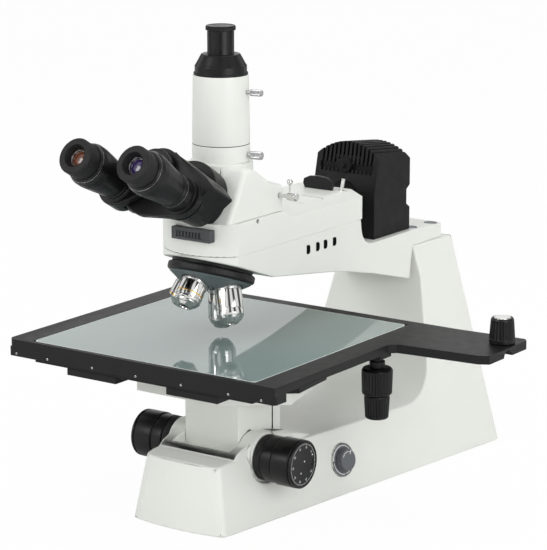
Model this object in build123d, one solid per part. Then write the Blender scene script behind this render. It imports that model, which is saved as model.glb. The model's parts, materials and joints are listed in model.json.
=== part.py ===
from build123d import *
import math
import os

os.makedirs("parts", exist_ok=True)

# Everything is in millimetres. +Z is up, -Y is the user's side, +X is the user's right.
# The origin is where the optical axis meets the bench.
# Heights are stacked from the bench: stand, focus carriage, stage, objective, arm, head, phototube.

# Clearances
FIT = 0.05
PLUG_GAP = 0.1
AIR = 0.3
SLIDE_GAP = 0.4

# Stand: drafted block and column
BENCH_GAP = 1.5
STAND_FRONT_Y = -82.0
STAND_LENGTH = 489.0
STAND_BACK_Y = STAND_FRONT_Y + STAND_LENGTH
STAND_FRONT_HALF = 62.0
STAND_BACK_HALF = 118.0
TOP_FRONT_HALF = 18.0
TOP_BACK_HALF = 57.0
FRONT_LEAN = 26.0
BACK_LEAN = 18.0
NOSE_BOW = 7.0
TOP_BOW = 2.0
STAND_CORNER_R = 8.0
THROAT_Y = 248.0
THROAT_R = 50.0
COLUMN_WAIST_Y = 313.0
COLUMN_FRONT_Y = 309.5
COLUMN_BACK_Y = 387.0
ARM_SEAT = 19.0

# Feet, bay and cover below
FOOT_R = 14.5
FOOT_HEIGHT = 5.5
FOOT_POCKET_GAP = 0.5
FRONT_FOOT_INSET = (17.0, 20.0)
BACK_FOOT_INSET = (28.0, 35.0)
BAY_HALF = 58.0
BAY_Y = (80.0, 392.0)
BAY_ROOF = 13.0
COVER_LIP = 6.0
COVER_INSET = 4.0
COVER_THICK = 3.0
COVER_DISH = 1.5
BOARD_HALF = 45.0
BOARD_Y = (170.0, 330.0)
BOARD_POST = 6.5
BOARD_THICK = 2.0

# Power panel at the back
PANEL_Z = 30.0
PANEL_HALF_Z = 10.5
PANEL_FLANGE = 2.0
PANEL_RIM = 2.5
INLET_X = -30.0
INLET_HALF = 14.0
INLET_WALL = 2.0
INLET_DEPTH = 22.0
SWITCH_X = 10.0
SWITCH_HALF = 7.0
SWITCH_DEPTH = 16.0
ROCKER_HALF = 5.0
ROCKER_PIN_R = 1.5
ROCKER_PIN_DEPTH = 6.0

# Brightness dial on the right side
DIAL_Y = 122.0
DIAL_Z = 40.0
DIAL_R = 18.5
DIAL_BUSH_R = 6.5
DIAL_BUSH_DEPTH = 12.0
DIAL_SPINDLE_R = 3.0
BRIGHTNESS_KNOB_R = 13.0
BRIGHTNESS_KNOB_HEIGHT = 7.6

# Focus drive: carriage in its well, rack, pinion and coaxial knobs
WELL_FLOOR_Z = 12.0
FOCUS_DOWN = 22.0
CARRIAGE_FLOOR_GAP = 8.0
CARRIAGE_Z = WELL_FLOOR_Z + FOCUS_DOWN + CARRIAGE_FLOOR_GAP
CARRIAGE_HEIGHT = 91.0
CARRIAGE_TOP_Z = CARRIAGE_Z + CARRIAGE_HEIGHT
CARRIAGE_HALF = 36.0
CARRIAGE_FRONT_Y = -20.0
CARRIAGE_BACK_Y = 59.0
CARRIAGE_WALL = 6.0
CARRIAGE_BACK = 22.0
CARRIAGE_ROOF = 8.0
SHAFT_RISE = 29.0
FOCUS_Z = CARRIAGE_Z + SHAFT_RISE
BLOCK_TOP_Z = FOCUS_Z + 4.0
GUIDE_X = (20.0, 28.0)
GUIDE_DEPTH = 7.0
GUIDE_HEIGHT = 70.0
SHAFT_R = 4.0
SHAFT_SLOT_GAP = 0.5
FINE_SHAFT_R = 2.25
MODULE = 0.75
PINION_TEETH = 16
PINION_PITCH_R = MODULE * PINION_TEETH / 2
PINION_HALF = 5.0
RACK_PITCH = math.pi * MODULE
RACK_BACK_Y = 15.0
SPINE_HALF = 7.0
BOSS_R = 26.5
BOSS_X = 57.0
COLLAR_R = 25.2
COLLAR_LENGTH = 9.4
COARSE_R = 26.6
COARSE_NECK_R = 25.4
COARSE_NECK_LENGTH = 13.0
COARSE_GAP = 0.6
COARSE_LENGTH = 36.5
COARSE_WALL = 3.5
COARSE_HUB_R = 10.0
COARSE_X = BOSS_X + COLLAR_LENGTH + COARSE_GAP
COARSE_END_X = COARSE_X + COARSE_LENGTH
FINE_R = 26.4
FINE_GAP = 0.5
FINE_LENGTH = 3.5
FINE_HUB_R = 6.0
FINE_HUB_DEPTH = 3.0
FINE_FACE_X = COARSE_END_X + FINE_GAP + FINE_LENGTH
FINGER_RECESS_YZ = (17.0, -1.2)
FINGER_RECESS_R = 4.2

# Stage: support plate, Y slide, X slide, frame and glass
SUPPORT_THICK = 13.7
LOWER_THICK = 12.0
LOWER_FRONT_Y = -44.0
LOWER_BACK_Y = 70.0
LOWER_HALF = 96.0
SUPPORT_HALF = 84.0
Y_RAIL_X = (45.0, 87.0)
Y_RAIL_HEIGHT = 11.5
RUNNER_X = (33.0, 99.0)
RUNNER_THICK = 7.5
SLIDE_HALF = 143.0
SLIDE_FRONT_Y = -144.0
SLIDE_BACK_Y = 140.0
MIDDLE_THICK = 8.5
X_RAIL_Y = 118.0
X_RAIL_HALF = 6.0
X_RAIL_HEIGHT = 4.2
SUPPORT_TOP_Z = CARRIAGE_TOP_Z + SUPPORT_THICK
LOWER_TOP_Z = SUPPORT_TOP_Z + LOWER_THICK
Y_RAIL_TOP_Z = LOWER_TOP_Z + Y_RAIL_HEIGHT
RUNNER_Z = Y_RAIL_TOP_Z + AIR
MIDDLE_Z = RUNNER_Z + RUNNER_THICK
MIDDLE_TOP_Z = MIDDLE_Z + MIDDLE_THICK
FRAME_Z = MIDDLE_TOP_Z + X_RAIL_HEIGHT + AIR
FRAME_THICK = 10.0
FRAME_TOP_Z = FRAME_Z + FRAME_THICK
FRAME_PAD = 0.5
FRAME_HALF_X = 175.0
FRAME_FRONT_Y = -150.0
FRAME_BACK_Y = 161.0
FRAME_CORNER_R = 8.0
GLASS_THICK = 6.0
GLASS_HALF_X = 146.0
GLASS_FRONT_Y = -144.0
GLASS_BACK_Y = 146.0
GLASS_LEDGE_X = 10.0
WINDOW_HALF_Y = 108.0
SKIRT_DROP = 8.5
SKIRT_THICK = 5.0
SKIRT_SIDE = 20.0
HANDLE_X = 287.0
HANDLE_FRONT_Y = 60.0
HANDLE_NOTCH_R = 9.0
HANDLE_NOTCH_Y = 121.0

# Stage controls
DRIVE_OUT = 7.0
DRIVE_XY = (SLIDE_HALF + DRIVE_OUT, 78.0)
DRIVE_SHAFT_R = 3.0
DRIVE_SLEEVE_R = 4.5
NECK_R = 8.5
NECK_LENGTH = 17.9
Y_KNOB_R = 17.0
Y_KNOB_LENGTH = 29.3
X_KNOB_R = 14.0
X_KNOB_LENGTH = 26.7
CLUTCH_XY = (HANDLE_X - 17.0, 137.0)
CLUTCH_R = 14.0
CLUTCH_HEIGHT = 27.6
CLUTCH_STEM_R = 4.0
CLUTCH_CAP_R = 9.8

# Nosepiece and objectives, measured along their axes from the point where these meet
TIP_GAP = 7.2
OBJECTIVE_REACH = 116.0
APEX_Z = FRAME_TOP_Z + TIP_GAP + OBJECTIVE_REACH
TURRET_TILT = 20.0
OBJECTIVE_TILT = 20.0
OBJECTIVE_COUNT = 4
MOUNT_S = 47.2
MOUNT_THICK = 3.2
MOUNT_R = 44.0
SPIGOT_R = 10.5
LIGHT_R = 8.0
RIM_R = 47.5
RIM_THICK = 9.6
TURRET_BORE_R = 31.0
SEAT_S = 70.5
SEAT_R = 15.4
THREAD_R = 7.9
BARREL_R = 14.6
THREAD_LENGTH = 8.5
OBJECTIVE_ENDS = (116.0, 113.0, 105.0, 103.0)
BARREL_ENDS = (106.0, 104.0, 97.0, 94.0)
SHOULDER_RS = (11.5, 11.5, 11.0, 9.0)
TIP_RS = (8.0, 7.5, 7.5, 6.0)
LENS_RS = (5.0, 4.0, 5.0, 3.5)
LENS_DEPTHS = (3.0, 2.0, 2.4, 2.0)
LENS_THICK = 1.2

# Arm: casting, cover, controls and lamp house
SEAM_Z = APEX_Z - 25.2
ARM_HALF = 50.0
ARM_NOSE_R = 66.0
ARM_NOSE_Y = 5.0
ARM_BACK_Y = 379.0
ARM_DECK_DROP = 32.0
DECK_Z = SEAM_Z - ARM_DECK_DROP
COLUMN_TOP_Z = DECK_Z - ARM_SEAT
SWOOP_Y = 224.0
COVER_HEIGHT = 35.0
HEAD_BASE_Z = SEAM_Z + COVER_HEIGHT
COVER_BACK_Y = 200.0
COVER_WALL = 6.0
COVER_ROOF_DROP = 2.5
COVER_SHOULDER = 9.0
LIGHT_BORE_R = 15.0
PLUG_R = 7.5
PLUG_X = 38.0
PLUG_Y = (323.0, 367.0)
VENT_Y = (92.8, 111.2, 126.4, 144.4)
LEVER_XY = (-7.0, 139.0)
TAB_Y = 181.0
TAB_X = 4.0
FLAT_Y = 188.0
SLIDER_X = (-17.0, 33.0)
SLIDER_Z = (SEAM_Z + 17.0, SEAM_Z + 30.0)
LAMP_HALF = 42.0
LAMP_Y = (236.0, 316.0)
LAMP_HEIGHT = 110.0
LAMP_ARCH = 17.0
LAMP_WALL = 6.0
FIN_COUNT = 13
FIN_PITCH = 5.5
FIN_GAP = 2.4
LAMP_AXIS_Z = SEAM_Z + 13.0
LAMP_TUBE_R = 18.9

# Head, phototube and binocular
HEAD_HALF = 47.5
HEAD_BACK_Y = 50.0
HEAD_TOP = 54.0
HEAD_FOOT_R = 30.0
HEAD_BORE_R = 16.0
HEAD_EDGE_R = 6.0
TUBE_BOSS_R = 34.0
TUBE_RISE = 58.0
TUBE_Z = HEAD_BASE_Z + TUBE_RISE
TUBE_R = 31.0
TUBE_TOP_R = 29.7
TUBE_BORE_R = 24.0
RING_HEIGHT = 18.0
TUBE_LENGTH = 92.0
TUBE_TOP_Z = TUBE_Z + TUBE_LENGTH
CONE_HEIGHT = 22.0
PORT_R = 14.3
PORT_BORE_R = 13.05
PORT_LENGTH = 25.0
PORT_TOP_Z = TUBE_TOP_Z + CONE_HEIGHT + PORT_LENGTH
CAP_R = 16.0
CAP_THICK = 5.0
CAP_PLUG = 9.0
SCREW_TURN = 10.0
SCREW_R = 2.0
UPPER_SCREW_Z = TUBE_TOP_Z - 17.5
LOWER_SCREW_Z = TUBE_Z + 7.5
ROD_YZ = (40.5, HEAD_BASE_Z + 18.0)
ROD_R = 2.2
EYE_POINT = (0.0, -200.3, HEAD_BASE_Z + 88.6)
EYE_TILT = 30.0
EYE_HALF_SPACING = 37.0
HINGE_RISE = 21.0
HINGE_R = 27.0
HUB_R = 35.5
HUB_S = (148.0, 173.0)
HUB_FLAT_Y = -6.5
PIVOT_R = 11.0
EYE_BORE_R = 15.0
EYE_RING_R = 23.2
EYE_RING_S = 19.0
EYE_NECK_R = 18.6
TUBE_END_S = 76.5
LEFT_WING_S = (79.0, 89.0)
RIGHT_WING_S = (90.0, 133.0)
BELLY_S = (90.0, 98.0)
BELLY = (-4.0, 1.0, 28.0)
WING_END_R = 24.0
WING_BACK_R = 19.5
WING_CORNER = ((57.0, 22.3, 2.5), (68.8, 13.6, 2.5))
SWING_GAP = 1.6
EYEPIECE_R = 19.5
EYE_LENS_R = 9.8

TURRET = Plane(
    origin=(0.0, 0.0, APEX_Z),
    x_dir=(1, 0, 0),
    z_dir=(0, -math.sin(math.radians(TURRET_TILT)), -math.cos(math.radians(TURRET_TILT))),
)
EYES = Plane(
    origin=EYE_POINT,
    x_dir=(1, 0, 0),
    z_dir=(0, -math.cos(math.radians(EYE_TILT)), math.sin(math.radians(EYE_TILT))),
)


def block(x, y, z):
    """A box between two values on each axis."""
    size = Box(x[1] - x[0], y[1] - y[0], z[1] - z[0])
    return Pos((x[0] + x[1]) / 2, (y[0] + y[1]) / 2, (z[0] + z[1]) / 2) * size


def rod(radius, start, end):
    """A cylinder from one point to another."""
    path = Vector(*end) - Vector(*start)
    body = Cylinder(radius, path.length, align=(Align.CENTER, Align.CENTER, Align.MIN))
    return Plane(origin=start, z_dir=path) * body


def post(radius, z, at=(0.0, 0.0)):
    """A cylinder between two heights at a point of the plan."""
    return rod(radius, (at[0], at[1], z[0]), (at[0], at[1], z[1]))


def between(radius, low, high):
    """A cylinder about Z between two heights of a local frame."""
    return Pos(0, 0, low) * Cylinder(radius, high - low, align=(Align.CENTER, Align.CENTER, Align.MIN))


def turned(profile):
    """A solid turned about Z from a closed outline of radii and heights."""
    face = Plane.XZ * make_face(Polyline(*profile, close=True))
    return revolve(face, Axis.Z, 360)


def turned_x(profile, side):
    """A solid turned about the focus shaft, from radii and distances out to one side."""
    place = Plane(origin=(0, 0, FOCUS_Z), x_dir=(0, 1, 0), z_dir=(1, 0, 0))
    return place * turned([(radius, side * x) for radius, x in profile])


def side_slab(outline, x):
    """An outline of Y and Z values, extruded between two X values."""
    face = Plane.YZ.offset(x[0]) * make_face(Polyline(*outline, close=True))
    return extrude(face, amount=x[1] - x[0])


def front_slab(outline, y):
    """An outline of X and Z values, extruded between two Y values."""
    face = Plane.XZ.offset(-y[0]) * make_face(Polyline(*outline, close=True))
    return extrude(face, amount=-(y[1] - y[0]))


def plan_slab(outline, z):
    """An outline of X and Y values, extruded between two heights."""
    face = Pos(0, 0, z[0]) * make_face(Polyline(*outline, close=True))
    return extrude(face, amount=z[1] - z[0])


def mirrored(side, x):
    """Two X values on one side, in rising order."""
    return sorted((side * x[0], side * x[1]))


def quarter(centre, radii, start, steps):
    """Points of a quarter round or ellipse, its two ends left out."""
    points = []
    for step in range(1, steps):
        angle = math.radians(start + step * 90.0 / steps)
        points.append((centre[0] + radii[0] * math.cos(angle), centre[1] + radii[1] * math.sin(angle)))
    return points


def draft_z():
    """Height that the stand's draft is measured at, just above the column."""
    return COLUMN_TOP_Z + 2.0


def back_y(z):
    """Depth of the stand's rear face at a height."""
    return STAND_BACK_Y - BACK_LEAN * z / draft_z()


def stand_half_width(y, z):
    """Half the width of the stand's drafted sides at a depth and a height."""
    low = STAND_FRONT_HALF + (STAND_BACK_HALF - STAND_FRONT_HALF) * (y - STAND_FRONT_Y) / STAND_LENGTH
    top_length = STAND_LENGTH - FRONT_LEAN - BACK_LEAN
    high = TOP_FRONT_HALF + (TOP_BACK_HALF - TOP_FRONT_HALF) * (y - STAND_FRONT_Y - FRONT_LEAN) / top_length
    return low + (high - low) * z / draft_z()


def side_plane(y, z):
    """Plane on the stand's right side whose Z axis points out of it."""
    here = stand_half_width(y, z)
    along = stand_half_width(y + 1.0, z) - here
    up = stand_half_width(y, z + 1.0) - here
    return Plane(origin=(here, y, z), x_dir=(along, 1.0, 0.0), z_dir=(1.0, -along, -up))


DIAL = side_plane(DIAL_Y, DIAL_Z)


def stand_section(half_front, half_back, front, back, bow, z):
    """One drafted level of the stand with round vertical corners."""
    nose = ThreePointArc((-half_front, front), (0, front - bow), (half_front, front))
    right = Line((half_front, front), (half_back, back))
    rear = Line((half_back, back), (-half_back, back))
    left = Line((-half_back, back), (-half_front, front))
    face = make_face([nose, right, rear, left])
    face = fillet(face.vertices(), STAND_CORNER_R)
    return Pos(0, 0, z) * face


def stand_body():
    """The drafted block and column before anything is cut in it."""
    low = stand_section(STAND_FRONT_HALF, STAND_BACK_HALF, STAND_FRONT_Y, STAND_BACK_Y, NOSE_BOW, 0.0)
    front, back = STAND_FRONT_Y + FRONT_LEAN, STAND_BACK_Y - BACK_LEAN
    high = stand_section(TOP_FRONT_HALF, TOP_BACK_HALF, front, back, TOP_BOW, draft_z())
    return loft([low, high])


def stand_profile():
    """The stand seen from its side, with the round throat."""
    front, back = STAND_FRONT_Y - 18.0, STAND_BACK_Y + 13.0
    low = [(front, BENCH_GAP), (front, BLOCK_TOP_Z), (STAND_FRONT_Y + 4.0, BLOCK_TOP_Z)]
    low += [(STAND_FRONT_Y + 22.0, BLOCK_TOP_Z + 2.0), (150, BLOCK_TOP_Z + 1.0), (THROAT_Y, BLOCK_TOP_Z)]
    throat_z = BLOCK_TOP_Z + THROAT_R
    throat = quarter((THROAT_Y, throat_z), (THROAT_R, THROAT_R), -90.0, 9)
    high = [(THROAT_Y + THROAT_R, throat_z), (COLUMN_WAIST_Y, COLUMN_TOP_Z - 36.0),
            (COLUMN_FRONT_Y, COLUMN_TOP_Z)]
    high += [(COLUMN_BACK_Y, COLUMN_TOP_Z), (back, COLUMN_TOP_Z - 18.0), (back, BENCH_GAP)]
    half = STAND_BACK_HALF + 12.0
    return side_slab(low + throat + high, (-half, half))


def shaft_mound():
    """Swelling of the block that runs into the shaft bosses."""
    rises = ((-50, 1), (-41, 8), (-24, 13), (0, 21), (20, 19), (60, 9), (90, 0))
    outline = [(-52, BLOCK_TOP_Z - 15.0)] + [(y, BLOCK_TOP_Z + rise) for y, rise in rises]
    half = BOSS_X + 3.0
    mound = stand_body() & side_slab(outline + [(90, BLOCK_TOP_Z - 15.0)], (-half, half))
    return mound + rod(BOSS_R, (-BOSS_X, 0, FOCUS_Z), (BOSS_X, 0, FOCUS_Z))


def stand_casting():
    """Block, column and shaft bosses, with the focus well and the electronics bay."""
    body = (stand_body() & stand_profile()) + shaft_mound()
    well = CARRIAGE_HALF + SLIDE_GAP
    front, back = CARRIAGE_FRONT_Y - SLIDE_GAP, CARRIAGE_BACK_Y + SLIDE_GAP
    body -= block((-well, well), (front, back), (WELL_FLOOR_Z, CARRIAGE_TOP_Z + 7.0))
    body -= block((-well, well), (-60, front + 1.0), (BLOCK_TOP_Z + 2.0, CARRIAGE_TOP_Z + 7.0))
    for side in (-1, 1):
        body -= rod(COARSE_R + 1.4, (side * BOSS_X, 0, FOCUS_Z), (side * (BOSS_X + 23.0), 0, FOCUS_Z))
    body -= rod(SHAFT_R + FIT, (-60, 0, FOCUS_Z), (60, 0, FOCUS_Z))
    body -= block((-BAY_HALF, BAY_HALF), BAY_Y, (-1, BLOCK_TOP_Z - BAY_ROOF))
    body -= cover_block(SLIDE_GAP, (-1, COVER_INSET + COVER_THICK))
    for place in feet_places():
        body -= post(FOOT_R + FOOT_POCKET_GAP, (-1, FOOT_HEIGHT), place)
    body -= DIAL * between(DIAL_R + PLUG_GAP, -1.0, 3.0)
    body -= DIAL * between(DIAL_BUSH_R, -40.0, 0.0)
    body -= panel_hole(INLET_X, INLET_HALF)
    return body - panel_hole(SWITCH_X, SWITCH_HALF)


def panel_hole(x, half):
    """Cut through the stand's rear wall for one piece of the power panel."""
    return block((x - half, x + half), (BAY_Y[1] - 12.0, STAND_BACK_Y + 13.0),
                 (PANEL_Z - PANEL_HALF_Z, PANEL_Z + PANEL_HALF_Z))


def feet_places():
    """Plan of the five feet: one under the optical axis and four near the corners."""
    places = [(0.0, 0.0)]
    for side in (-1, 1):
        places.append((side * (STAND_FRONT_HALF - FRONT_FOOT_INSET[0]),
                       STAND_FRONT_Y + FRONT_FOOT_INSET[1]))
        places.append((side * (STAND_BACK_HALF - BACK_FOOT_INSET[0]), STAND_BACK_Y - BACK_FOOT_INSET[1]))
    return places


def rubber_feet():
    """Five pads in pockets of the casting."""
    return Compound(children=[post(FOOT_R, (0, FOOT_HEIGHT), place) for place in feet_places()])


def cover_block(gap, z):
    """Plan of the bottom cover, wider by a gap, between two heights."""
    half = BAY_HALF + COVER_LIP + gap
    return block((-half, half), (BAY_Y[0] - COVER_LIP - gap, BAY_Y[1] + 4.0 + gap), z)


def bottom_cover():
    """Sheet that closes the electronics bay from below."""
    cover = cover_block(0.0, (COVER_INSET, COVER_INSET + COVER_THICK))
    dish = block((-55, 55), (BAY_Y[0] + 20.0, BAY_Y[1] - 12.0),
                 (COVER_INSET + COVER_DISH, COVER_INSET + 4.0))
    return cover - dish


def power_board():
    """Lamp supply inside the bay, on four posts of the cover."""
    foot = COVER_INSET + COVER_DISH
    low = foot + BOARD_POST
    top = low + BOARD_THICK
    board = block((-BOARD_HALF, BOARD_HALF), BOARD_Y, (low, top))
    board += block((-30, 10), (BOARD_Y[0] + 20.0, BOARD_Y[0] + 70.0), (top, top + 28.0))
    board += block((18, 38), (BOARD_Y[0] + 30.0, BOARD_Y[0] + 90.0), (top, top + 20.0))
    for x in (-BOARD_HALF + 7.0, BOARD_HALF - 7.0):
        for y in (BOARD_Y[0] + 8.0, BOARD_Y[1] - 8.0):
            board += post(3.0, (foot, low), (x, y))
    return board


def panel_y():
    """Depth of the power panel's outer face."""
    return back_y(PANEL_Z - PANEL_HALF_Z - PANEL_RIM) + PANEL_FLANGE


def panel_piece(x, half, depth, rim):
    """One housing of the power panel behind its flange."""
    outer = panel_y()
    high = PANEL_HALF_Z + PANEL_RIM
    body = block((x - half, x + half), (outer - depth, outer - PANEL_FLANGE),
                 (PANEL_Z - PANEL_HALF_Z, PANEL_Z + PANEL_HALF_Z))
    return body + block((x - half - rim, x + half + rim), (outer - PANEL_FLANGE, outer),
                        (PANEL_Z - high, PANEL_Z + high))


def power_panel():
    """Mains inlet and the frame of the switch, side by side at the back."""
    return mains_inlet() + switch_frame()


def mains_inlet():
    """Three-pin mains inlet at the back of the stand."""
    outer = panel_y()
    half = INLET_HALF - INLET_WALL
    high = PANEL_HALF_Z - 2.5
    floor = outer - INLET_DEPTH + 4.0
    body = panel_piece(INLET_X, INLET_HALF, INLET_DEPTH, 3.0)
    body -= block((INLET_X - half, INLET_X + half), (floor, outer + 1), (PANEL_Z - high, PANEL_Z + high))
    for x, z in ((-7, -2), (7, -2), (0, 2)):
        pin_x = (INLET_X + x - 1, INLET_X + x + 1)
        body += block(pin_x, (floor - 1.0, floor + 13.0), (PANEL_Z + z - 2, PANEL_Z + z + 2))
    return body


def switch_frame():
    """Frame that the rocker turns in."""
    outer = panel_y()
    gap = 0.3
    half = ROCKER_HALF + gap
    frame = panel_piece(SWITCH_X, SWITCH_HALF, SWITCH_DEPTH, 2.0)
    frame -= block((SWITCH_X - half, SWITCH_X + half), (outer - SWITCH_DEPTH + 3.0, outer + 1),
                   (PANEL_Z - 9, PANEL_Z + 9))
    return frame - rocker_pin(ROCKER_PIN_R + FIT, ROCKER_HALF + 1.5)


def rocker_pin(radius, half):
    """The rocker's cross pin."""
    depth = panel_y() - ROCKER_PIN_DEPTH
    return rod(radius, (SWITCH_X - half, depth, PANEL_Z), (SWITCH_X + half, depth, PANEL_Z))


def power_rocker():
    """Rocker of the mains switch, on a cross pin."""
    depth = panel_y() - ROCKER_PIN_DEPTH
    rises = ((-3, -2), (2, -8), (9, -8), (6, 0.5), (4, 8), (1, 8), (-3, 2))
    shape = [(depth + y, PANEL_Z + z) for y, z in rises]
    body = side_slab(shape, (SWITCH_X - ROCKER_HALF, SWITCH_X + ROCKER_HALF))
    return body + rocker_pin(ROCKER_PIN_R, ROCKER_HALF + 1.4)


def guide_rails():
    """Two upright rails on the well's rear wall."""
    back = CARRIAGE_BACK_Y + SLIDE_GAP
    rails = []
    for side in (-1, 1):
        rails.append(block(mirrored(side, GUIDE_X), (back - GUIDE_DEPTH - SLIDE_GAP, back),
                           (WELL_FLOOR_Z, WELL_FLOOR_Z + GUIDE_HEIGHT)))
    return Compound(children=rails)


def shaft_collars():
    """Fixed tension rings on both bosses."""
    bore, end = SHAFT_R + 1.0, BOSS_X + COLLAR_LENGTH
    neck = COLLAR_R - 5.0
    profile = [(bore, BOSS_X), (neck, BOSS_X), (neck, BOSS_X + 1.5), (COLLAR_R, BOSS_X + 1.5),
               (COLLAR_R, end - 0.9)]
    profile += [(COLLAR_R - 1.0, end), (bore, end)]
    return Compound(children=[turned_x(profile, side) for side in (-1, 1)])


def dial_plate():
    """Grey plate of the brightness control with its bush."""
    plate = between(DIAL_R, -1.0, 1.2) + between(DIAL_BUSH_R, -DIAL_BUSH_DEPTH, 0.0)
    return DIAL * (plate - between(DIAL_SPINDLE_R + FIT, -DIAL_BUSH_DEPTH - 1.0, 7.0))


def brightness_knob():
    """Knob of the lamp's brightness with its spindle."""
    low = 1.6
    top = low + BRIGHTNESS_KNOB_HEIGHT
    r = BRIGHTNESS_KNOB_R
    knob = turned([(0, low), (r, low), (r, top - 1.2), (r - 1.0, top), (0, top)])
    knob += between(DIAL_SPINDLE_R, -DIAL_BUSH_DEPTH + 3.0, low + 0.4)
    return DIAL * (knob - block((r - 6.0, r - 1.5), (-0.8, 0.8), (top - 0.8, top + 0.8)))


def focus_carriage():
    """Hollow white slide that carries the stage, open below, with slots for the shaft."""
    low, high = CARRIAGE_Z - 1.0, CARRIAGE_TOP_Z + 1.0
    inner = CARRIAGE_HALF - CARRIAGE_WALL
    body = block((-CARRIAGE_HALF, CARRIAGE_HALF), (CARRIAGE_FRONT_Y, CARRIAGE_BACK_Y),
                 (CARRIAGE_Z, CARRIAGE_TOP_Z))
    hollow_y = (CARRIAGE_FRONT_Y + CARRIAGE_WALL, CARRIAGE_BACK_Y - CARRIAGE_BACK)
    body -= block((-inner, inner), hollow_y, (low, CARRIAGE_TOP_Z - CARRIAGE_ROOF))
    body += block((-SPINE_HALF, SPINE_HALF), (RACK_BACK_Y, hollow_y[1] + 1.0), (CARRIAGE_Z, CARRIAGE_TOP_Z))
    slot_r = SHAFT_R + SHAFT_SLOT_GAP
    slot_z = FOCUS_Z + FOCUS_DOWN
    for side in (-1, 1):
        guide = mirrored(side, (GUIDE_X[0] - SLIDE_GAP, GUIDE_X[1] + SLIDE_GAP))
        body -= block(guide, (CARRIAGE_BACK_Y - GUIDE_DEPTH - SLIDE_GAP, CARRIAGE_BACK_Y + 1.0),
                      (low, high))
        wall = mirrored(side, (inner - 2.0, CARRIAGE_HALF + 4.0))
        body -= block(wall, (-slot_r, slot_r), (low, slot_z))
        body -= rod(slot_r, (wall[0], 0, slot_z), (wall[1], 0, slot_z))
        groove = mirrored(side, (CARRIAGE_HALF - 3.0, CARRIAGE_HALF + 1.0))
        body -= block(groove, (43.2, 44.5), (low, high))
    return body


def rack_outline():
    """Straight-flanked rack teeth that face -Y, as points of Y and Z."""
    count = int(2 * SHAFT_RISE / RACK_PITCH)
    root = PINION_PITCH_R + 1.267 * MODULE
    tip = PINION_PITCH_R - 0.8 * MODULE
    start = FOCUS_Z - count / 2 * RACK_PITCH
    points = [(RACK_BACK_Y, start)]
    for index in range(count):
        middle = start + (index + 0.5) * RACK_PITCH
        points += [(root, middle - RACK_PITCH / 2), (root, middle - 0.907 * MODULE)]
        points += [(tip, middle - MODULE / 3), (tip, middle + MODULE / 3), (root, middle + 0.907 * MODULE)]
    end = start + count * RACK_PITCH
    return points + [(root, end), (RACK_BACK_Y, end)]


def focus_rack():
    """Rack inside the carriage. A gap between teeth faces the pinion at rest."""
    return side_slab(rack_outline(), (-PINION_HALF, PINION_HALF))


def pinion():
    """Spur pinion, its first tooth pointing at the rack."""
    radii = (PINION_PITCH_R - 1.333 * MODULE, PINION_PITCH_R, PINION_PITCH_R + 0.733 * MODULE)
    flank = list(zip(radii, (0.150, 0.078, 0.030)))
    points = []
    for index in range(PINION_TEETH):
        middle = 2 * math.pi * index / PINION_TEETH
        for radius, half in flank:
            points.append((radius * math.cos(middle - half), radius * math.sin(middle - half)))
        for radius, half in reversed(flank):
            points.append((radius * math.cos(middle + half), radius * math.sin(middle + half)))
    return side_slab([(y, z + FOCUS_Z) for y, z in points], (-PINION_HALF, PINION_HALF))


def shaft(radius, end):
    """A shaft on the focus axis that reaches as far on both sides."""
    return rod(radius, (-end, 0, FOCUS_Z), (end, 0, FOCUS_Z))


def coarse_shaft():
    """Hollow shaft with its pinion."""
    end = COARSE_END_X - 4.0
    return shaft(SHAFT_R, end) + pinion() - shaft(FINE_SHAFT_R + FIT, end + 3.0)


def coarse_knobs():
    """Both coarse knobs, hollow towards the stand and sunk for the fine knobs' hubs."""
    r, neck, start, end = COARSE_R, COARSE_NECK_R, COARSE_X, COARSE_END_X
    inner, floor, groove = neck - COARSE_WALL, COARSE_END_X - 8.0, COARSE_X + COARSE_NECK_LENGTH
    profile = [(SHAFT_R, start), (COARSE_HUB_R, start), (COARSE_HUB_R, floor), (inner, floor), (inner, start)]
    profile += [(neck - 0.6, start), (neck, start + 0.7), (neck, groove), (neck - 0.7, groove + 0.4)]
    profile += [(neck - 0.7, groove + 1.0), (r - 0.5, groove + 1.4), (r, groove + 2.0), (r, end - 1.0)]
    profile += [(r - 0.9, end), (FINE_HUB_R + 1.0, end), (FINE_HUB_R + 1.0, end - 4.0)]
    profile += [(SHAFT_R, end - 4.0)]
    return Compound(children=[turned_x(profile, side) for side in (-1, 1)])


def fine_knob(side):
    """Fine knob. The left one is turned in one piece with the shaft, the right one is the dial."""
    face, back, r, bore = FINE_FACE_X, COARSE_END_X + FINE_GAP, FINE_R, FINE_SHAFT_R
    hub = COARSE_END_X - FINE_HUB_DEPTH
    profile = [(bore, hub), (FINE_HUB_R, hub), (FINE_HUB_R, back), (r - 0.9, back), (r, back + 0.9),
               (r, face - 1.0)]
    profile += [(r - 1.0, face), (r - 2.7, face), (r - 3.1, face - 0.6), (0, face - 0.6),
                (0, face - 2.0), (bore, face - 2.0)]
    knob = turned_x(profile, side)
    y, z = FINGER_RECESS_YZ[0], FOCUS_Z + FINGER_RECESS_YZ[1]
    knob -= rod(FINGER_RECESS_R, (side * (face - 2.2), y, z), (side * (face + 1.0), y, z))
    return knob + shaft(FINE_SHAFT_R, face - 2.0) if side < 0 else knob


def support_plate():
    """White plate on top of the carriage."""
    half, front, back = SUPPORT_HALF, LOWER_FRONT_Y, LOWER_BACK_Y
    outline = [(-half, front), (half - 57.0, front), (half + 4.0, front + 49.0), (half - 12.0, back),
               (-half, back)]
    return plan_slab(outline, (CARRIAGE_TOP_Z, SUPPORT_TOP_Z))


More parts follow.
